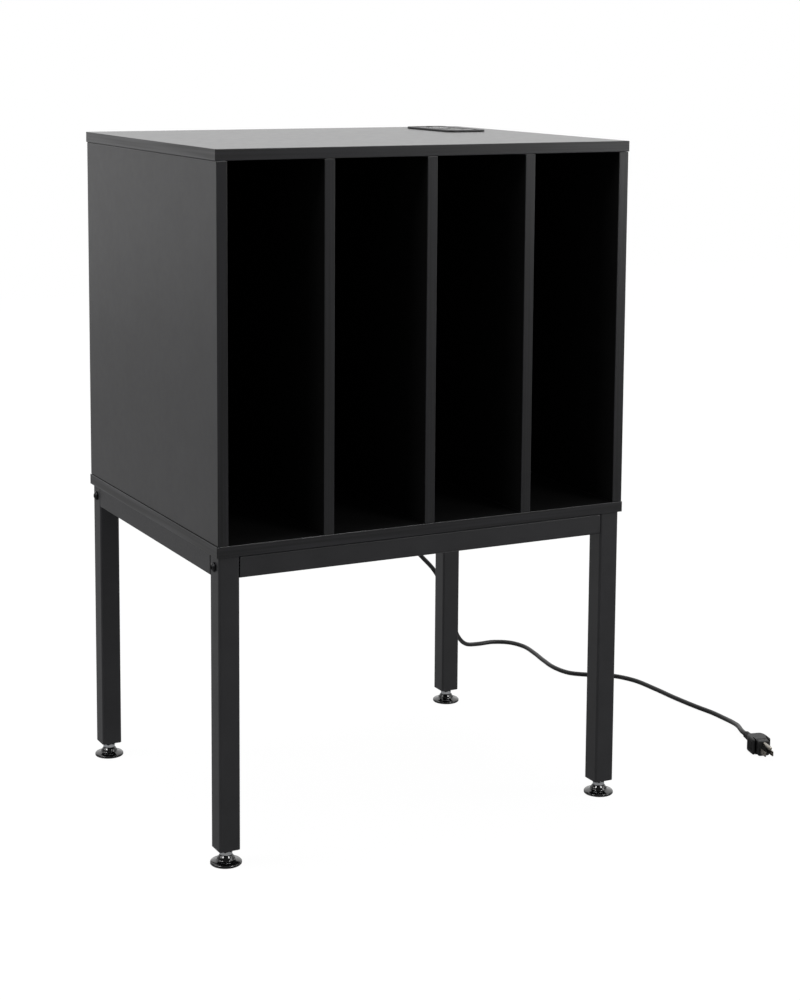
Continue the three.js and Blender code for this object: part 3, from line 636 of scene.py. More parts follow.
def makeRails():
    makeTube("front_rail", "frontRail", 0)
    makeTube("rear_rail", "rearRail", 0)
    reach = upward(tubeShape["Side"])
    for side in ("left", "right"):
        level = measured(f"{side}_rail")[2].z
        cutters = []
        for end in ("front", "rear"):
            middle = measured(f"frame_screw_{end}_{side}")[2]
            middle.z = level
            cutters.append(rodCutter(tubeSizes["screwHole"], middle, middle + reach))
            cutters.append(rodCutter(tubeSizes["accessHole"], middle - reach, middle))
        makeTube(f"{side}_rail", f"{side}Rail", 1, cutters)


def makeWeldBeads():
    half = tubeShape["Side"] / 2
    step = half - (beadShape["Length"] - beadShape["Length"] / beadShape["Ripples"]) / 2
    beads = []
    for sign, rail in ((-1, "left_rail"), (1, "right_rail")):
        low, high, middle = measured(rail)
        for y in (low.y, high.y):
            inner = Matrix.Translation((middle.x - sign * half, y, low.z + step))
            under = Matrix.Translation((middle.x - half + step, y, low.z)) @ alongX
            beads += [grown("bead", beadTree, beadShape, "coat", place) for place in (inner, under)]
    fitted(joined("weldBeads", beads, "coat"), "frame_steel")


makeLegs()
makeRails()
makeWeldBeads()
for corner in corners:
    dressed(f"rail_end_plate_{corner}", "zinc")
print("frame made")


# Fasteners: one item set on its places

boltSizes = dict(
    millimetres(head=5.25, tall=3, rim=0.7, edge=0.2, socketAcross=4, socketDepth=1.8, shank=3, tipSlope=0.6),
    crownTurns=(0, 15, 30, 42, 54),
    topShare=0.52,
    sides=48,
)
screwSizes = dict(
    millimetres(head=4, tall=2.6, shank=2, tip=3, edge=0.1, rounding=1, roundDrop=1.2, crossWidth=1.1,
                crossLength=4.6, crossDepth=1.5, crossCorner=0.2),
    tapers=(0.3, 0.7, 0.5),  # shares of the shank at the point and half way up it, and the head's flat
    sides=40,
)


def placedCopiesTree():
    tree, sizes = startTree("placedCopies", {"Size": 1.0}, onPoints=True)
    facing = addNode(tree, "GeometryNodeInputNamedAttribute", data_type="FLOAT_VECTOR", Name="facing")
    turn = addNode(tree, "FunctionNodeAlignRotationToVector", axis="Z", Vector=facing)
    item = addNode(tree, "GeometryNodeObjectInfo", Object=sizes["Item"]).outputs["Geometry"]
    scale = addNode(tree, "ShaderNodeCombineXYZ", [sizes["Size"]] * 3)
    copies = addNode(tree, "GeometryNodeInstanceOnPoints", Points=sizes["Geometry"], Instance=item,
                     Rotation=turn, Scale=scale)
    return endTree(tree, sizes, copies)


copiesTree = placedCopiesTree()


def placedCopies(name, item, spots, finishName, size=1.0):
    points = bpy.data.meshes.new(name)
    points.from_pydata([spot for spot, facing in spots], [], [])
    facings = points.attributes.new("facing", "FLOAT_VECTOR", "POINT")
    for value, (spot, facing) in zip(facings.data, spots):
        value.vector = facing
    piece = grown(name, copiesTree, {"Size": size, "Item": item}, finishName, base=points)
    bpy.data.objects.remove(item)
    return piece


def buttonHeadBolt(reach):
    size = boltSizes
    head, tall, rim, shank, edge, slope = picked(size, "head tall rim shank edge tipSlope")
    angles = [math.radians(a) for a in size["crownTurns"]]
    crown = [(head * math.cos(a), rim + (tall - rim) * math.sin(a)) for a in angles]
    profile = [(shank - slope, -reach), (shank, slope - reach), (shank, 0), (head - edge, 0), (head, edge),
               *crown, (head * size["topShare"], tall)]
    socket = [hexagon(size["socketAcross"], z) for z in (tall - size["socketDepth"], 2 * tall)]
    return cutBy(turned("bolt", "oxide", profile, size["sides"]), [skinned("cutter", "oxide", socket)])


def panHeadScrew(reach):
    size = screwSizes
    head, tall, shank, tip = picked(size, "head tall shank tip")
    point, middle, flat = size["tapers"]
    profile = [(shank * point, -reach), (shank * middle, tip / 2 - reach), (shank, tip - reach), (shank, 0),
               (head - size["edge"], 0),
               *arc((head - size["rounding"], tall - size["roundDrop"]), size["rounding"], 0, 70),
               (head * flat, tall)]
    half, width = size["crossLength"] / 2, size["crossWidth"] / 2
    floor, top = tall - size["crossDepth"], 2 * tall
    cross = [blockCutter(Vector((-x, -y, floor)), Vector((x, y, top)), size["crossCorner"])
             for x, y in ((half, width), (width, half))]
    return cutBy(turned("screw", "zinc", profile, size["sides"]), cross)


def makeFasteners():
    boltSpots, screwSpots = [], []
    for corner in corners:
        low, high, spot = measured(f"leg_bolt_{corner}")
        outward = 1 if corner.endswith("right") else -1
        spot.x = (high.x if outward > 0 else low.x) - outward * boltSizes["tall"]
        boltSpots.append((spot, (outward, 0, 0)))
        boltReach = high.x - low.x - boltSizes["tall"]
        low, high, spot = measured(f"frame_screw_{corner}")
        spot.z = low.z + screwSizes["tall"]
        screwSpots.append((spot, (0, 0, -1)))
        screwReach = high.z - low.z - screwSizes["tall"]
    bolts = placedCopies("legBolts", buttonHeadBolt(boltReach), boltSpots, "oxide")
    fitted(bolts, "bolt_steel", *[f"leg_bolt_{corner}" for corner in corners])
    screws = placedCopies("frameScrews", panHeadScrew(screwReach), screwSpots, "zinc")
    fitted(screws, "zinc_steel", *[f"frame_screw_{corner}" for corner in corners])


makeFasteners()
print("fasteners made")


# Levelling feet

padSizes = dict(
    millimetres(radius=17, rim=3, rimRound=1.2, footBevel=0.5, hubTop=7.4, hubRound=0.8, hubFoot=9.3,
                hubBase=5.7, hubSwell=0.3, tall=10, bore=4.3, boreBevel=0.3, socket=6, axis=0.1),
    shoulder=[(9.9, 4.9), (11, 4.4), (12.4, 4.1), (13.9, 3.7), (15.1, 3.3)],  # millimetres
    flankSteps=5,
    sides=96,
)
studSizes = dict(
    millimetres(radius=4, runOut=2, tip=0.4, nutAcross=13, nutTall=4.1, nutSlope=1, nutRim=0.2, nutPlay=0.1,
                nutGap=1.2),
    sides=48,
)
threadShape = {"Length": 30 * mm, "Pitch": 1.25 * mm, "Radius": 4 * mm, "Depth": 0.6 * mm}


def screwThreadTree():  # a four-sided ridge swept along a helix, whose outer edge is the thread's crest
    tree, sizes = startTree("screwThread", threadShape)
    turns = addNode(tree, "ShaderNodeMath", [sizes["Length"], sizes["Pitch"]], operation="DIVIDE")
    root = addNode(tree, "ShaderNodeMath", [sizes["Radius"], sizes["Depth"]], operation="SUBTRACT")
    helix = addNode(tree, "GeometryNodeCurveSpiral", Resolution=28, Rotations=turns, Start_Radius=root,
                    End_Radius=root, Height=sizes["Length"])
    ridge = addNode(tree, "GeometryNodeCurvePrimitiveCircle", Resolution=4, Radius=sizes["Depth"])
    skin = addNode(tree, "GeometryNodeCurveToMesh", Fill_Caps=True, Curve=helix, Profile_Curve=ridge)
    return endTree(tree, sizes, skin)


threadTree = screwThreadTree()


def makePad(corner):
    size = padSizes
    base = measured(f"foot_pad_{corner}")[2]
    base.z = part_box(f"foot_pad_{corner}")[0].z
    radius, tall, bore, rounding, bevel = picked(size, "radius tall bore rimRound footBevel")
    crown = arc((size["hubTop"] - size["hubRound"], tall - size["hubRound"]), size["hubRound"], 90, 25, 5)
    crownX, crownZ = crown[-1]
    flank = []  # the hub's slope, a little swollen
    for i in range(1, size["flankSteps"] + 1):
        t = i / size["flankSteps"]
        swell = size["hubSwell"] * 4 * t * (1 - t)
        flank.append((crownX + t * (size["hubFoot"] - crownX) + swell,
                      crownZ + t * (size["hubBase"] - crownZ)))
    profile = [(size["axis"], tall - size["socket"]), (bore, tall - size["socket"]),
               (bore, tall - size["boreBevel"]), (bore + size["boreBevel"], tall), *crown, *flank,
               *[(reach * mm, height * mm) for reach, height in size["shoulder"]],
               *arc((radius - rounding, size["rim"] - rounding), rounding, 70, 0, 6),
               (radius, bevel), (radius - bevel, 0), (size["axis"], 0)]
    pad = turned(titled("pad", corner), "nylon", profile, size["sides"], Matrix.Translation(base), 50)
    fitted(pad, "pad_plastic", f"foot_pad_{corner}", body=f"pad_{corner}")


def makeNut(base):
    size = studSizes
    across, tall, slope = picked(size, "nutAcross nutTall nutSlope")
    point = across / 2 / math.cos(math.radians(30)) + size["nutPlay"]
    rim = across / 2 - size["nutRim"]
    cone = [(rim, 0), (point, slope), (point, tall - slope), (rim, tall)]
    nut = skinned("nut", "zinc", [[base + spot for spot in hexagon(across, z)] for z in (0, tall)])
    limit = turned("cutter", "zinc", cone, padSizes["sides"], Matrix.Translation(base))
    return cutBy(nut, [limit], "INTERSECT")


def makeStud(corner):
    size = studSizes
    low, high, base = measured(f"foot_stud_{corner}")
    base.z = low.z
    length = high.z - low.z
    root, tip = size["radius"] - threadShape["Depth"], size["tip"]
    core = turned("core", "zinc", [(root - tip, 0), (root, tip), (root, length - tip), (root - tip, length)],
                  size["sides"], Matrix.Translation(base))
    thread = grown("thread", threadTree, dict(threadShape, Length=length - 2 * size["runOut"]), "zinc",
                   Matrix.Translation(base + upward(size["runOut"])))
    nutBase = Vector((base.x, base.y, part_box(f"foot_pad_{corner}")[1].z + size["nutGap"]))
    stud = joined(titled("stud", corner), [core, thread, makeNut(nutBase)], "zinc", 30)
    fitted(stud, "zinc_steel", f"foot_stud_{corner}", body=f"stud_{corner}")


for corner in corners:
    makePad(corner)
    makeStud(corner)
    dressed(f"leg_plug_{corner}", "abs")
print("feet made")


# Repeated bars: vents, grip ridges and port contacts

barShape = {"Count": 5, "Pitch": 4 * mm, "Long": 10 * mm, "Wide": 1.6 * mm, "Deep": 4 * mm}


def barRowTree():
    tree, sizes = startTree("barRow", barShape)
    gaps = addNode(tree, "ShaderNodeMath", [sizes["Count"], 1], operation="SUBTRACT")
    span = addNode(tree, "ShaderNodeMath", [sizes["Pitch"], gaps], operation="MULTIPLY")
    first = addNode(tree, "ShaderNodeMath", [span, -0.5], operation="MULTIPLY")
    start = addNode(tree, "ShaderNodeCombineXYZ", X=first)
    pitch = addNode(tree, "ShaderNodeCombineXYZ", X=sizes["Pitch"])
    size = addNode(tree, "ShaderNodeCombineXYZ", X=sizes["Wide"], Y=sizes["Long"], Z=sizes["Deep"])
    row = addNode(tree, "GeometryNodeMeshLine", Count=sizes["Count"], Start_Location=start, Offset=pitch)
    bar = addNode(tree, "GeometryNodeMeshCube", Size=size)
    bars = addNode(tree, "GeometryNodeInstanceOnPoints", Points=row, Instance=bar)
    return endTree(tree, sizes, bars)


barTree = barRowTree()


def barRow(name, finishName, place, **sizes):
    return grown(name, barTree, dict(barShape, **sizes), finishName, place)


# Power module

moduleSizes = dict(vents=6, sides=48, **millimetres(
    flangeWidth=52, flangeLength=116, flangeCorner=8, edgeRound=1.1, underBevel=0.25, mouthBevel=0.3,
    wallInset=4.3, openingInset=6.3, ledgeInset=7.9, ledgeTall=2, under=762.2, top=764.5, ledge=761.2,
    wallBase=728.2, ventZ=748, ventRow=30, ventLong=60, ventDeep=12, leadZ=737.9, leadStart=52.7,
    leadEnd=57.7, leadBoss=5.5, leadRim=1, leadRound=0.8, leadHole=3.1, leadHoleDeep=1.5,
))
faceSizes = millimetres(
    width=38.8, length=102.8, corner=2, base=761.5, top=763.9, edge=0.35, cutReach=2, gap=0.3,
    firstOutlet=-31.4, secondOutlet=2.6, faceWidth=33, faceLength=24, faceCorner=9, faceShift=-5.6,
    faceProud=0.45, faceDeep=1, faceEdge=0.3, bladeAcross=6.35, slotWidth=2.2, slotLength=8.5,
    shortSlot=7.2, slotCorner=0.25, groundBack=11.9, groundRadius=2.7, chargerY=15.85, chargerWidth=34,
    chargerLength=12, chargerCorner=0.6, buttonY=42.4, buttonRadius=4.5,
)
chargerSizes = dict(contacts=4, tongueShift=0.2, **millimetres(
    corner=0.5, deep=12, edge=0.25, across=8.2, width=12.6, tall=5.4, depth=9, shell=0.3, shellPlay=0.05,
    shellBase=0.1, tongue=1.8, tongueWidth=10.6, tongueCorner=0.2, tongueDrop=0.6, tongueEdge=0.15,
    contactDrop=4, contactPitch=2.4, contactWide=1, contactLong=0.2, contactDeep=6.4,
))
buttonSizes = dict(dishShare=0.45, sides=72, **millimetres(
    flange=5.5, flangeUnder=1.5, flangeTop=0.3, rounding=0.6, rim=1.1, rimDrop=0.05, dishDrop=0.35,
    middleDrop=0.42, axis=0.05,
))
coverSizes = dict(screwScale=0.45, **millimetres(
    bevel=0.2, frontVents=-34, rearVents=30, ventLong=22, ventDeep=1.6, screwX=17, screwY=48,
    screwHead=1.2, screwReach=6,
))
buttonHoleSides = 64
moduleCentre = measured("module_face_plate")[2]
moduleCentre.z = 0


def makeHousing():
    size = moduleSizes
    wall, opening, inner, edge = picked(size, "wallInset openingInset ledgeInset edgeRound")
    under, top, ledge, base, bevel, mouth = picked(size, "under top ledge wallBase underBevel mouthBevel")
    ledgeUnder = ledge - size["ledgeTall"]
    profile = [(bevel, under), (0, under + bevel), *arc((edge, top - edge), edge, 180, 90, 6),
               (opening - mouth, top), (opening, top - mouth), (opening, ledge), (inner, ledge),
               (inner, ledgeUnder), (opening, ledgeUnder), (opening, base), (wall, base), (wall, under)]
    housing = rimmed("moduleHousing", "abs", profile, size["flangeWidth"], size["flangeLength"],
                     size["flangeCorner"], moduleCentre)
    vents = []
    for row in (-size["ventRow"], size["ventRow"]):
        place = Matrix.Translation(moduleCentre + Vector((0, row, size["ventZ"]))) @ aboutZ
        vents.append(barRow("cutter", "abs", place, Count=size["vents"], Long=size["ventLong"],
                            Deep=size["ventDeep"]))
    cutBy(housing, vents)
    radius, start, end, soft, hole = picked(size, "leadBoss leadStart leadEnd leadRound leadHole")
    profile = [(radius, start), (radius, end - size["leadRim"]),
               *arc((radius - soft, end - soft), soft, 0, 90), (hole, end),
               (hole, end - size["leadHoleDeep"])]
    place = Matrix.Translation(moduleCentre + upward(size["leadZ"])) @ alongY
    boss = turned("boss", "abs", profile, size["sides"], place, 40)
    whole = joined("moduleHousing", [housing, boss], "abs", 40)
    fitted(flatShaded(whole), "housing_plastic", "module_housing")


def outletCutters(y, low, high):
    size = faceSizes
    cutters = []
    for side, length in ((-1, size["slotLength"]), (1, size["shortSlot"])):
        centre = moduleCentre + Vector((side * size["bladeAcross"], y, 0))
        half = Vector((size["slotWidth"] / 2, length / 2, 0))
        cutters.append(blockCutter(centre - half + low, centre + half + high, size["slotCorner"]))
    ground = moduleCentre + Vector((0, y - size["groundBack"], 0))
    cutters.append(rodCutter(size["groundRadius"], ground + low, ground + high))
    return cutters


def makeFacePlate():
    size = faceSizes
    plate = softBlock("plate", "plate", moduleCentre, size["width"], size["length"], size["corner"],
                      size["base"], size["top"], size["edge"])
    low, high = upward(size["base"] - size["cutReach"]), upward(size["top"] + size["cutReach"])
    charger = moduleCentre + Vector((0, size["chargerY"], 0))
    half = Vector((size["chargerWidth"] / 2 + size["gap"], size["chargerLength"] / 2 + size["gap"], 0))
    button = moduleCentre + Vector((0, size["buttonY"], 0))
    cutters = [blockCutter(charger - half + low, charger + half + high, size["chargerCorner"]),
               rodCutter(size["buttonRadius"] + size["gap"], button + low, button + high, buttonHoleSides)]
    faces = []
    for y in (size["firstOutlet"], size["secondOutlet"]):
        cutters += outletCutters(y, low, high)
        centre = moduleCentre + Vector((0, y + size["faceShift"], 0))
        face = softBlock("face", "plate", centre, size["faceWidth"], size["faceLength"], size["faceCorner"],
                         size["top"] - size["faceDeep"], size["top"] + size["faceProud"], size["faceEdge"])
        faces.append(cutBy(face, outletCutters(y, low, high)))
    cutBy(plate, cutters)
    whole = joined("facePlate", [plate] + faces, "plate", 40)
    fitted(flatShaded(whole), "face_plastic", "module_face_plate")


def makeCharger():
    size, top = chargerSizes, faceSizes["top"]
    centre = moduleCentre + Vector((0, faceSizes["chargerY"], 0))
    insert = softBlock("chargerInsert", "abs", centre, faceSizes["chargerWidth"], faceSizes["chargerLength"],
                       size["corner"], top - size["deep"], top, size["edge"])
    low, high, wall = top - size["depth"] + size["shellBase"], top + size["shellPlay"], size["shell"]
    half = Vector((size["width"] / 2, size["tall"] / 2, 0))
    cutters, shells, tongues, contacts = [], [], [], []
    for side in (-1, 1):
        mouth = centre + Vector((side * size["across"], 0, 0))
        cutters.append(blockCutter(mouth - half + upward(top - size["depth"]),
                                   mouth + half + upward(top + faceSizes["cutReach"]), size["corner"]))
        shells.append(rimmed("shell", "zinc", [(0, low), (0, high), (wall, high), (wall, low)],
                             size["width"] - size["shellPlay"], size["tall"] - size["shellPlay"],
                             size["corner"], mouth, 30))
        tongue = mouth + Vector((0, size["tongue"] * size["tongueShift"], 0))
        tongues.append(softBlock("tongue", "abs", tongue, size["tongueWidth"], size["tongue"],
                                 size["tongueCorner"], low, top - size["tongueDrop"], size["tongueEdge"]))
        place = Matrix.Translation(tongue + Vector((0, -size["tongue"] / 2, top - size["contactDrop"])))
        contacts.append(barRow("contacts", "brass", place, Count=size["contacts"],
                               Pitch=size["contactPitch"], Long=size["contactLong"],
                               Wide=size["contactWide"], Deep=size["contactDeep"]))
    cutBy(insert, cutters)
    whole = joined("chargerInsert", [insert] + tongues, "abs", 40)
    fitted(flatShaded(whole), "housing_plastic", "charger_insert")
    fitted(joined("portShells", shells, "zinc"), "spring_steel")
    fitted(joined("portContacts", contacts, "brass"), "brass")


def makeButton():
    size = buttonSizes
    low, high, centre = measured("power_button")
    flange, soft = picked(size, "flange rounding")
    radius, top = faceSizes["buttonRadius"], high.z
    under, shelf = faceSizes["base"] - size["flangeUnder"], faceSizes["base"] - size["flangeTop"]
    profile = [(radius / 2, low.z), (radius / 2, under), (flange, under), (flange, shelf), (radius, shelf),
               *arc((radius - soft, top - soft), soft, 0, 90, 5),
               (radius - size["rim"], top - size["rimDrop"]),
               (radius * size["dishShare"], top - size["dishDrop"]),
               (size["axis"], top - size["middleDrop"])]
    place = Matrix.Translation((centre.x, centre.y, 0))
    button = turned("powerButton", "plate", profile, size["sides"], place, 40)
    fitted(button, "face_plastic", "power_button", body="button")


def makeCover():
    size = coverSizes
    cover = carriedCopy("module_cover", "moduleCover", "abs", size["bevel"])
    low, high, centre = measured("module_cover")
    cutters = []
    for y in (size["frontVents"], size["rearVents"]):
        place = Matrix.Translation((centre.x, centre.y + y, low.z)) @ aboutZ
        cutters.append(barRow("cutter", "abs", place, Long=size["ventLong"], Deep=size["ventDeep"]))
    fitted(flatShaded(cutBy(cover, cutters)), "housing_plastic", "module_cover")
    spots = [(Vector((centre.x + sx * size["screwX"], centre.y + sy * size["screwY"],
                      low.z + size["screwHead"])), (0, 0, -1)) for sx in (-1, 1) for sy in (-1, 1)]
    screws = placedCopies("coverScrews", panHeadScrew(size["screwReach"]), spots, "zinc",
                          size["screwScale"])
    fitted(screws, "zinc_steel")


def makeInnerLead():
    low, high, start = measured("inner_lead")
    start.y = low.y
    radius = cordSizes["diameter"] / 2
    profile = [(radius, 0), (radius, high.y - low.y)]
    place = Matrix.Translation(start) @ alongY
    lead = turned("innerLead", "jacket", profile, cordSizes["innerSides"], place, 40)
    fitted(lead, "cord_vinyl", "inner_lead")


makeHousing()
makeFacePlate()
makeCharger()
makeButton()
makeCover()
makeInnerLead()
for side in ("left", "right"):
    clip = carriedCopy(f"module_clip_{side}", f"{side}Clip", "spring", coverSizes["bevel"])
    fitted(clip, "spring_steel", f"module_clip_{side}")
for node in ("contact_strip_line", "contact_strip_neutral", "contact_strip_ground"):
    dressed(node, "brass")
dressed("charger_board", "mask")
dressed("button_switch", "abs")
print("module made")


# Back panel and cord gland

glandSizes = dict(
    millimetres(neck=5.5, flange=8.5, flangeTall=2.5, edge=0.2, rounding=0.6, bore=3.2, nose=24, noseRoot=5.5,
                noseTip=4.2, noseWall=0.9, tipWall=1, noseBevel=0.6, tipBevel=0.8, hole=5.8, reach=10,
                panelBevel=0.3),
    ribs=7,
    ribShare=0.62,
    sides=56,
    holeSides=48,
)
ribShape = {"Ribs": 6, "Run": 20 * mm, "Root Radius": 5.5 * mm, "Tip Radius": 4.2 * mm, "Rib Width": 2 * mm}
ribEdge = 0.3 * mm


def reliefRibsTree():  # discs in a row whose radius runs from the root's to the tip's
    tree, sizes = startTree("reliefRibs", ribShape)
    step = addNode(tree, "ShaderNodeMath", [sizes["Run"], sizes["Ribs"]], operation="DIVIDE")
    offset = addNode(tree, "ShaderNodeCombineXYZ", Z=step)
    row = addNode(tree, "GeometryNodeMeshLine", Count=sizes["Ribs"], Offset=offset)
    index = addNode(tree, "GeometryNodeInputIndex")
    last = addNode(tree, "ShaderNodeMath", [sizes["Ribs"], 1], operation="SUBTRACT")
    along = addNode(tree, "ShaderNodeMath", [index, last], operation="DIVIDE")
    taper = addNode(tree, "ShaderNodeMath", [sizes["Tip Radius"], sizes["Root Radius"]],
                    operation="SUBTRACT")
    change = addNode(tree, "ShaderNodeMath", [along, taper], operation="MULTIPLY")
    radius = addNode(tree, "ShaderNodeMath", [sizes["Root Radius"], change], operation="ADD")
    scale = addNode(tree, "ShaderNodeCombineXYZ", X=radius, Y=radius, Z=1)
    rib = addNode(tree, "GeometryNodeMeshCylinder", Vertices=48, Radius=1.0, Depth=sizes["Rib Width"])
    ribs = addNode(tree, "GeometryNodeInstanceOnPoints", Points=row, Instance=rib, Scale=scale)
    return endTree(tree, sizes, ribs)


ribTree = reliefRibsTree()


def reliefRibs(place, **sizes):
    inputs = {name.replace("_", " "): value for name, value in sizes.items()}
    return roundedEdges(grown("ribs", ribTree, inputs, "vinyl", place), ribEdge)


def makeBackPanel():
    low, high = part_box("back_panel")
    gland = measured("cord_gland")[2]
    panel = pieceFrom(boxWork(low, high), "backPanel", ["hardboard"])
    start = Vector((gland.x, low.y - glandSizes["reach"], gland.z))
    end = Vector((gland.x, high.y + glandSizes["reach"], gland.z))
    cutBy(panel, [rodCutter(glandSizes["hole"], start, end, glandSizes["holeSides"])])
    fitted(roundedEdges(panel, glandSizes["panelBevel"]), "back_board", "back_panel")


def makeGland():
    size = glandSizes
    low, high, start = measured("cord_gland")
    start.y = low.y
    run = high.y - low.y
    outer = run - size["nose"]
    tall, soft, flange, neck, edge = picked(size, "flangeTall rounding flange neck edge")
    root, tip, wall = picked(size, "noseRoot noseTip noseWall")
    profile = [(size["bore"], 0), (flange - soft, 0), *arc((flange - soft, soft), soft, -60, 0, 3),
               (flange, tall - edge), (flange - edge, tall), (neck, tall), (neck, outer - tall),
               (flange - edge, outer - tall), (flange, outer - tall + edge),
               *arc((flange - soft, outer - soft), soft, 0, 90), (root, outer),
               (root - wall, outer + size["noseBevel"]), (tip - wall, run - size["tipBevel"]),
               (tip - size["tipWall"], run)]
    place = Matrix.Translation(start) @ alongY
    core = turned("core", "vinyl", profile, size["sides"], place, 40)
    step = size["nose"] / size["ribs"]
    ribs = reliefRibs(place @ Matrix.Translation((0, 0, outer + step / 2)), Ribs=size["ribs"],
                      Run=size["nose"], Root_Radius=root, Tip_Radius=tip, Rib_Width=step * size["ribShare"])
    return fitted(joined("cordGland", [core, ribs], "vinyl", 40), "cord_vinyl", "cord_gland")


makeBackPanel()
gland = makeGland()
print("back panel and gland made")


# Plug, built along +Y from the neck's root and turned to its place on the floor

plugSizes = dict(
    millimetres(halfHeight=10, edge=2.2, noseWidth=15, noseTall=19, noseCorner=2.4, noseStart=14, noseEnd=31,
                noseEdge=1.2, slotMiddle=8.4, slotWidth=1.8, slotStart=16, slotCorner=0.8, slotReach=20,
                slotEnd=40, gripHalf=12.1, gripY=15, ridgePitch=2.2, ridgeWide=1, ridgeDeep=0.8,
                ridgeLong=12, ridgeEdge=0.25),
    ridges=6,
    outline=[(5.6, 0), (8.3, 0.9), (10.2, 2.9), (11.4, 5.6), (12, 9), (12.1, 13), (12.1, 24)],  # millimetres
)
neckSizes = dict(
    millimetres(root=6, tip=4.5, back=8, tipSlope=0.6, tipBevel=0.5, collar=3.4, collarEnd=3.8,
                collarStep=0.9, rootStep=1.1, rootSlope=1, ribStart=5.6, ribRun=17, ribProud=0.1,
                ribWidth=2.2),
    ribs=5,
    sides=48,
)
bladeSizes = dict(
    millimetres(inner=27, end=47, thick=1.5, tall=6.3, corner=0.15, across=4.85, drop=-2, hole=1.5,
                holeBack=5, holeReach=10, pinRadius=2.4, pinEnd=50, pinRise=6, pinTip=0.3),
    tipSteps=[(1.6, 0), (0.4, 0.35), (0, 0.7)],  # millimetres back from the tip, and in from the sides
    pinSides=40,
)
plugTurn = (Matrix.Translation(cordSizes["plugPlace"])
            @ Matrix.Rotation(math.pi - cordSizes["plugHeading"], 4, "Z"))


def makePlugShell():
    size = plugSizes
    side = [Vector((x, y, 0)) * mm for x, y in size["outline"]]
    outline = side + [Vector((-point.x, point.y, 0)) for point in reversed(side)]
    half = upward(size["halfHeight"])
    body = skinned("body", "vinyl", [[point + level for point in outline] for level in (-half, half)], 50)
    roundedEdges(body, size["edge"], 5, 50)
    cutters = []
    for sign in (-1, 1):
        x, halfSlot = sign * size["slotMiddle"], size["slotWidth"] / 2
        cutters.append(blockCutter(Vector((x - halfSlot, size["slotStart"], -size["slotReach"])),
                                   Vector((x + halfSlot, size["slotEnd"], size["slotReach"])),
                                   size["slotCorner"]))
    cutBy(body, cutters)
    shape = [roundedLoop(size["noseWidth"], size["noseTall"], size["noseCorner"], z)
             for z in (size["noseStart"], size["noseEnd"])]
    nose = skinned("nose", "vinyl", [[alongY @ point for point in loop] for loop in shape], 50)
    pieces = [body, roundedEdges(nose, size["noseEdge"], 3, 60)]
    for sign in (-1, 1):
        place = Matrix.Translation((sign * size["gripHalf"], size["gripY"], 0)) @ aboutZ
        row = barRow("ridges", "vinyl", place, Count=size["ridges"], Pitch=size["ridgePitch"],
                     Wide=size["ridgeWide"], Long=size["ridgeDeep"], Deep=size["ridgeLong"])
        pieces.append(roundedEdges(row, size["ridgeEdge"]))
    return pieces


def makeNeck():
    size, length = neckSizes, cordSizes["neckLength"]
    root, tip = size["root"], size["tip"]
    profile = [(tip - size["tipSlope"], -length), (tip, size["tipBevel"] - length),
               (tip, size["collar"] - length), (tip - size["collarStep"], size["collarEnd"] - length),
               (root - size["rootStep"], -size["rootSlope"]), (root, 0), (root, size["back"])]
    ribs = reliefRibs(alongY @ Matrix.Translation((0, 0, size["ribStart"] - length)), Ribs=size["ribs"],
                      Run=size["ribRun"], Root_Radius=tip + size["ribProud"],
                      Tip_Radius=root - size["ribProud"], Rib_Width=size["ribWidth"])
    return [turned("neck", "vinyl", profile, size["sides"], alongY, 40), ribs]


def makePlugBody():
    body, nose, *ridges = makePlugShell()
    whole = joined("plugBody", [body, nose] + makeNeck() + ridges, "vinyl", 40)
    whole.data.transform(plugTurn)
    return fitted(flatShaded(whole), "plug_vinyl", "plug_body")


def makeBlade(name, sign, node):
    size = bladeSizes
    shape = [(size["inner"], 0)] + [(size["end"] - back * mm, inset * mm) for back, inset in size["tipSteps"]]
    loops = [roundedLoop(size["thick"] - 2 * inset, size["tall"] - 2 * inset, size["corner"], y, 2)
             for y, inset in shape]
    blade = skinned(name, "nickel", [[alongY @ point for point in loop] for loop in loops], 25)
    reach, hole = size["holeReach"], size["end"] - size["holeBack"]
    cutBy(blade, [rodCutter(size["hole"], Vector((-reach, hole, 0)), Vector((reach, hole, 0)))])
    blade.data.transform(plugTurn @ Matrix.Translation((sign * size["across"], 0, size["drop"])))
    return fitted(flatShaded(blade), "plug_metal", node)


def makePin():
    size = bladeSizes
    radius, tip = size["pinRadius"], size["pinTip"]
    profile = [(radius, size["inner"]), *arc((tip, size["pinEnd"] - radius), radius - tip, 0, 80, 8)]
    place = plugTurn @ Matrix.Translation(upward(size["pinRise"])) @ alongY
    pin = turned("groundPin", "nickel", profile, size["pinSides"], place)
    return fitted(pin, "plug_metal", "plug_ground_pin")


plugPieces = [makePlugBody(), makeBlade("lineBlade", 1, "plug_blade_line"),
              makeBlade("neutralBlade", -1, "plug_blade_neutral"), makePin()]
print("plug made")


# Studio: a pale floor and a white surround, brighter behind and to the left than behind the camera

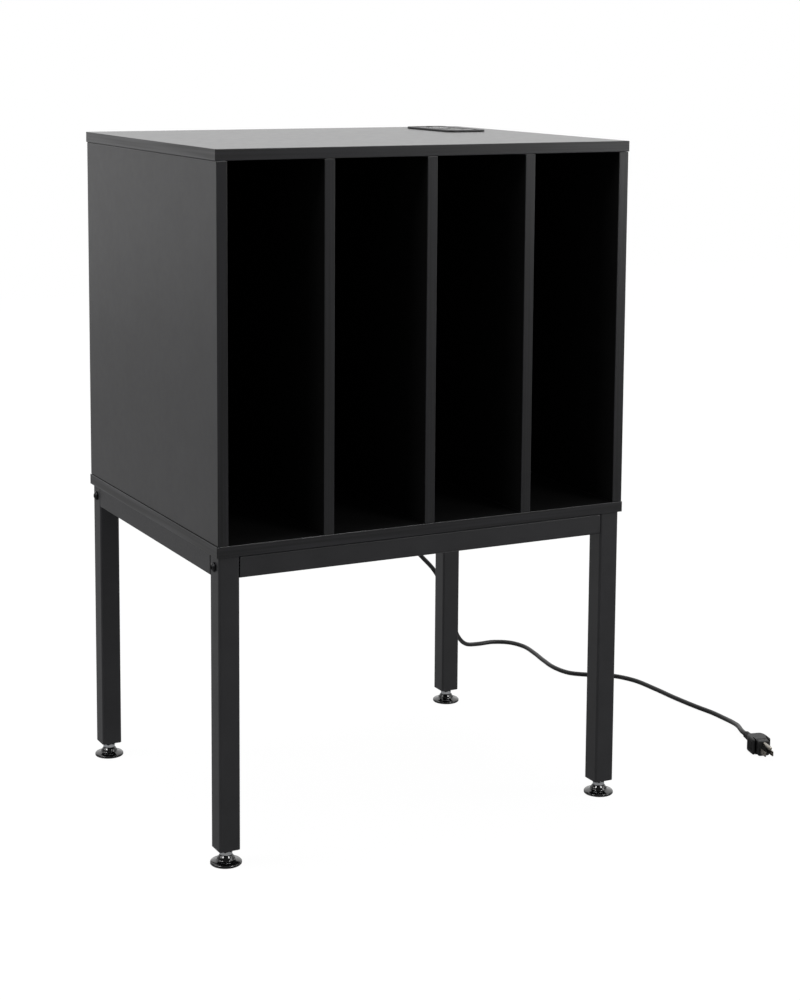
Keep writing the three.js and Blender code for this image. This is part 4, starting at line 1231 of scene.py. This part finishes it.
studio = {
    "floorSize": 9.0,
    "floorDrop": 0.2 * mm,
    "diffuseLevel": 0.62,
    "brightSide": Vector((0.5, 0.7, 0.5)),
    "brightRange": (-0.5, 0.9),
    "frontLevel": 0.16,
    "backLevel": 1.36,
    "floorBackLevel": 0.36,
    "floorRange": (-1.2, 0.8),
    "floorShare": 0.92,  # the glow's share of the floor: with the lit paper it comes to white
    "floorWhite": 1.04,
    # place, aim, size and power of each lamp, and whether it lights gloss alone
    "lamps": {
        "leftSoftbox": ((-2.4, 0.6, 1.9), (0, 0, 0.5), (1.4, 1.8), 26, False),
        "topSoftbox": ((0.2, 0.3, 2.9), (0, 0, 0.5), (1.6, 1.2), 22, False),
        "rightSoftbox": ((2.2, -1.2, 1.3), (0, 0, 0.3), (0.6, 1.4), 7, False),
        "leftSpark": ((-3.4, -0.9, 3.0), (0, 0, 0), (1.1, 1.1), 95, True),
        "rightSpark": ((1.4, -3.2, 3.0), (0, 0, 0), (1.1, 1.1), 95, True),
        "rightSheen": ((2.6, -2.7, 1.0), (0.2, 0, 0.7), (1.0, 1.0), 21, True),
    },
}


def makeWorld():  # white where seen directly, a gradient in reflections, an even level for diffuse light
    world = bpy.data.worlds.new("studioSurround")
    scene.world = world
    world.use_nodes = True
    tree = world.node_tree
    tree.nodes.clear()
    rays = addNode(tree, "ShaderNodeLightPath").outputs
    glossy = rays["Is Glossy Ray"]
    direction = addNode(tree, "ShaderNodeTexCoord").outputs["Generated"]
    side = addNode(tree, "ShaderNodeVectorMath", [direction, studio["brightSide"].normalized()],
                   operation="DOT_PRODUCT").outputs["Value"]
    start, end = studio["brightRange"]
    rise = addNode(tree, "ShaderNodeMapRange", Value=side, From_Min=start, From_Max=end)
    squared = addNode(tree, "ShaderNodeMath", [rise, rise], operation="MULTIPLY")
    seen = addNode(tree, "ShaderNodeMapRange", Value=squared, To_Min=studio["frontLevel"],
                   To_Max=studio["backLevel"])
    mirrored = addNode(tree, "ShaderNodeMath", [seen, glossy], operation="MULTIPLY")
    direct = addNode(tree, "ShaderNodeMath", [rays["Is Camera Ray"], rays["Is Transmission Ray"]],
                     operation="MAXIMUM")
    special = addNode(tree, "ShaderNodeMath", [direct, glossy], operation="MAXIMUM")
    rest = addNode(tree, "ShaderNodeMath", [1, special], operation="SUBTRACT")
    plain = addNode(tree, "ShaderNodeMath", [rest, studio["diffuseLevel"]], operation="MULTIPLY")
    shown = addNode(tree, "ShaderNodeMath", [direct, mirrored], operation="MAXIMUM")
    level = addNode(tree, "ShaderNodeMath", [shown, plain], operation="ADD")
    glow = addNode(tree, "ShaderNodeBackground", Color=(1, 1, 1, 1), Strength=level)
    addNode(tree, "ShaderNodeOutputWorld", Surface=glow)


def paleFloorMaterial():  # matt paper that keeps the shadow, blended with a glow for camera and glossy rays
    material = bpy.data.materials.new("paleStudioFloor")
    material.use_nodes = True
    tree = material.node_tree
    tree.nodes.clear()
    rays = addNode(tree, "ShaderNodeLightPath").outputs
    camera, glossy = rays["Is Camera Ray"], rays["Is Glossy Ray"]
    place = addNode(tree, "ShaderNodeTexCoord").outputs["Object"]
    depth = addNode(tree, "ShaderNodeSeparateXYZ", [place]).outputs["Y"]
    start, end = studio["floorRange"]
    seen = addNode(tree, "ShaderNodeMapRange", Value=depth, From_Min=start, From_Max=end,
                   To_Min=studio["frontLevel"], To_Max=studio["floorBackLevel"])
    mirrored = addNode(tree, "ShaderNodeMath", [seen, glossy], operation="MULTIPLY")
    white = addNode(tree, "ShaderNodeMath", [camera, studio["floorWhite"]], operation="MULTIPLY")
    level = addNode(tree, "ShaderNodeMath", [white, mirrored], operation="MAXIMUM")
    glow = addNode(tree, "ShaderNodeEmission", Color=(1, 1, 1, 1), Strength=level)
    paper = addNode(tree, "ShaderNodeBsdfDiffuse", Color=linear("#f2f2f2"))
    special = addNode(tree, "ShaderNodeMath", [camera, glossy], operation="MAXIMUM")
    share = addNode(tree, "ShaderNodeMath", [special, studio["floorShare"]], operation="MULTIPLY")
    blend = addNode(tree, "ShaderNodeMixShader", [share, paper, glow])
    addNode(tree, "ShaderNodeOutputMaterial", Surface=blend)
    return material


def makeFloor():
    work = bmesh.new()
    bmesh.ops.create_grid(work, x_segments=1, y_segments=1, size=studio["floorSize"] / 2)
    bmesh.ops.translate(work, vec=(0, 0, -studio["floorDrop"]), verts=work.verts)
    floor = pieceFrom(work, "floor", ["face"])
    floor.data.materials[0] = paleFloorMaterial()


def makeLamps():
    for name, (place, aim, size, power, glossOnly) in studio["lamps"].items():
        data = bpy.data.lights.new(name, "AREA")
        data.shape = "RECTANGLE"
        data.size, data.size_y = size
        data.energy = power
        lamp = newObject(name, data)
        turn = (Vector(aim) - Vector(place)).to_track_quat("-Z", "Y").to_matrix().to_4x4()
        lamp.matrix_world = Matrix.Translation(place) @ turn
        lamp.visible_diffuse = not glossOnly


makeWorld()
makeFloor()
makeLamps()
print("studio lit")
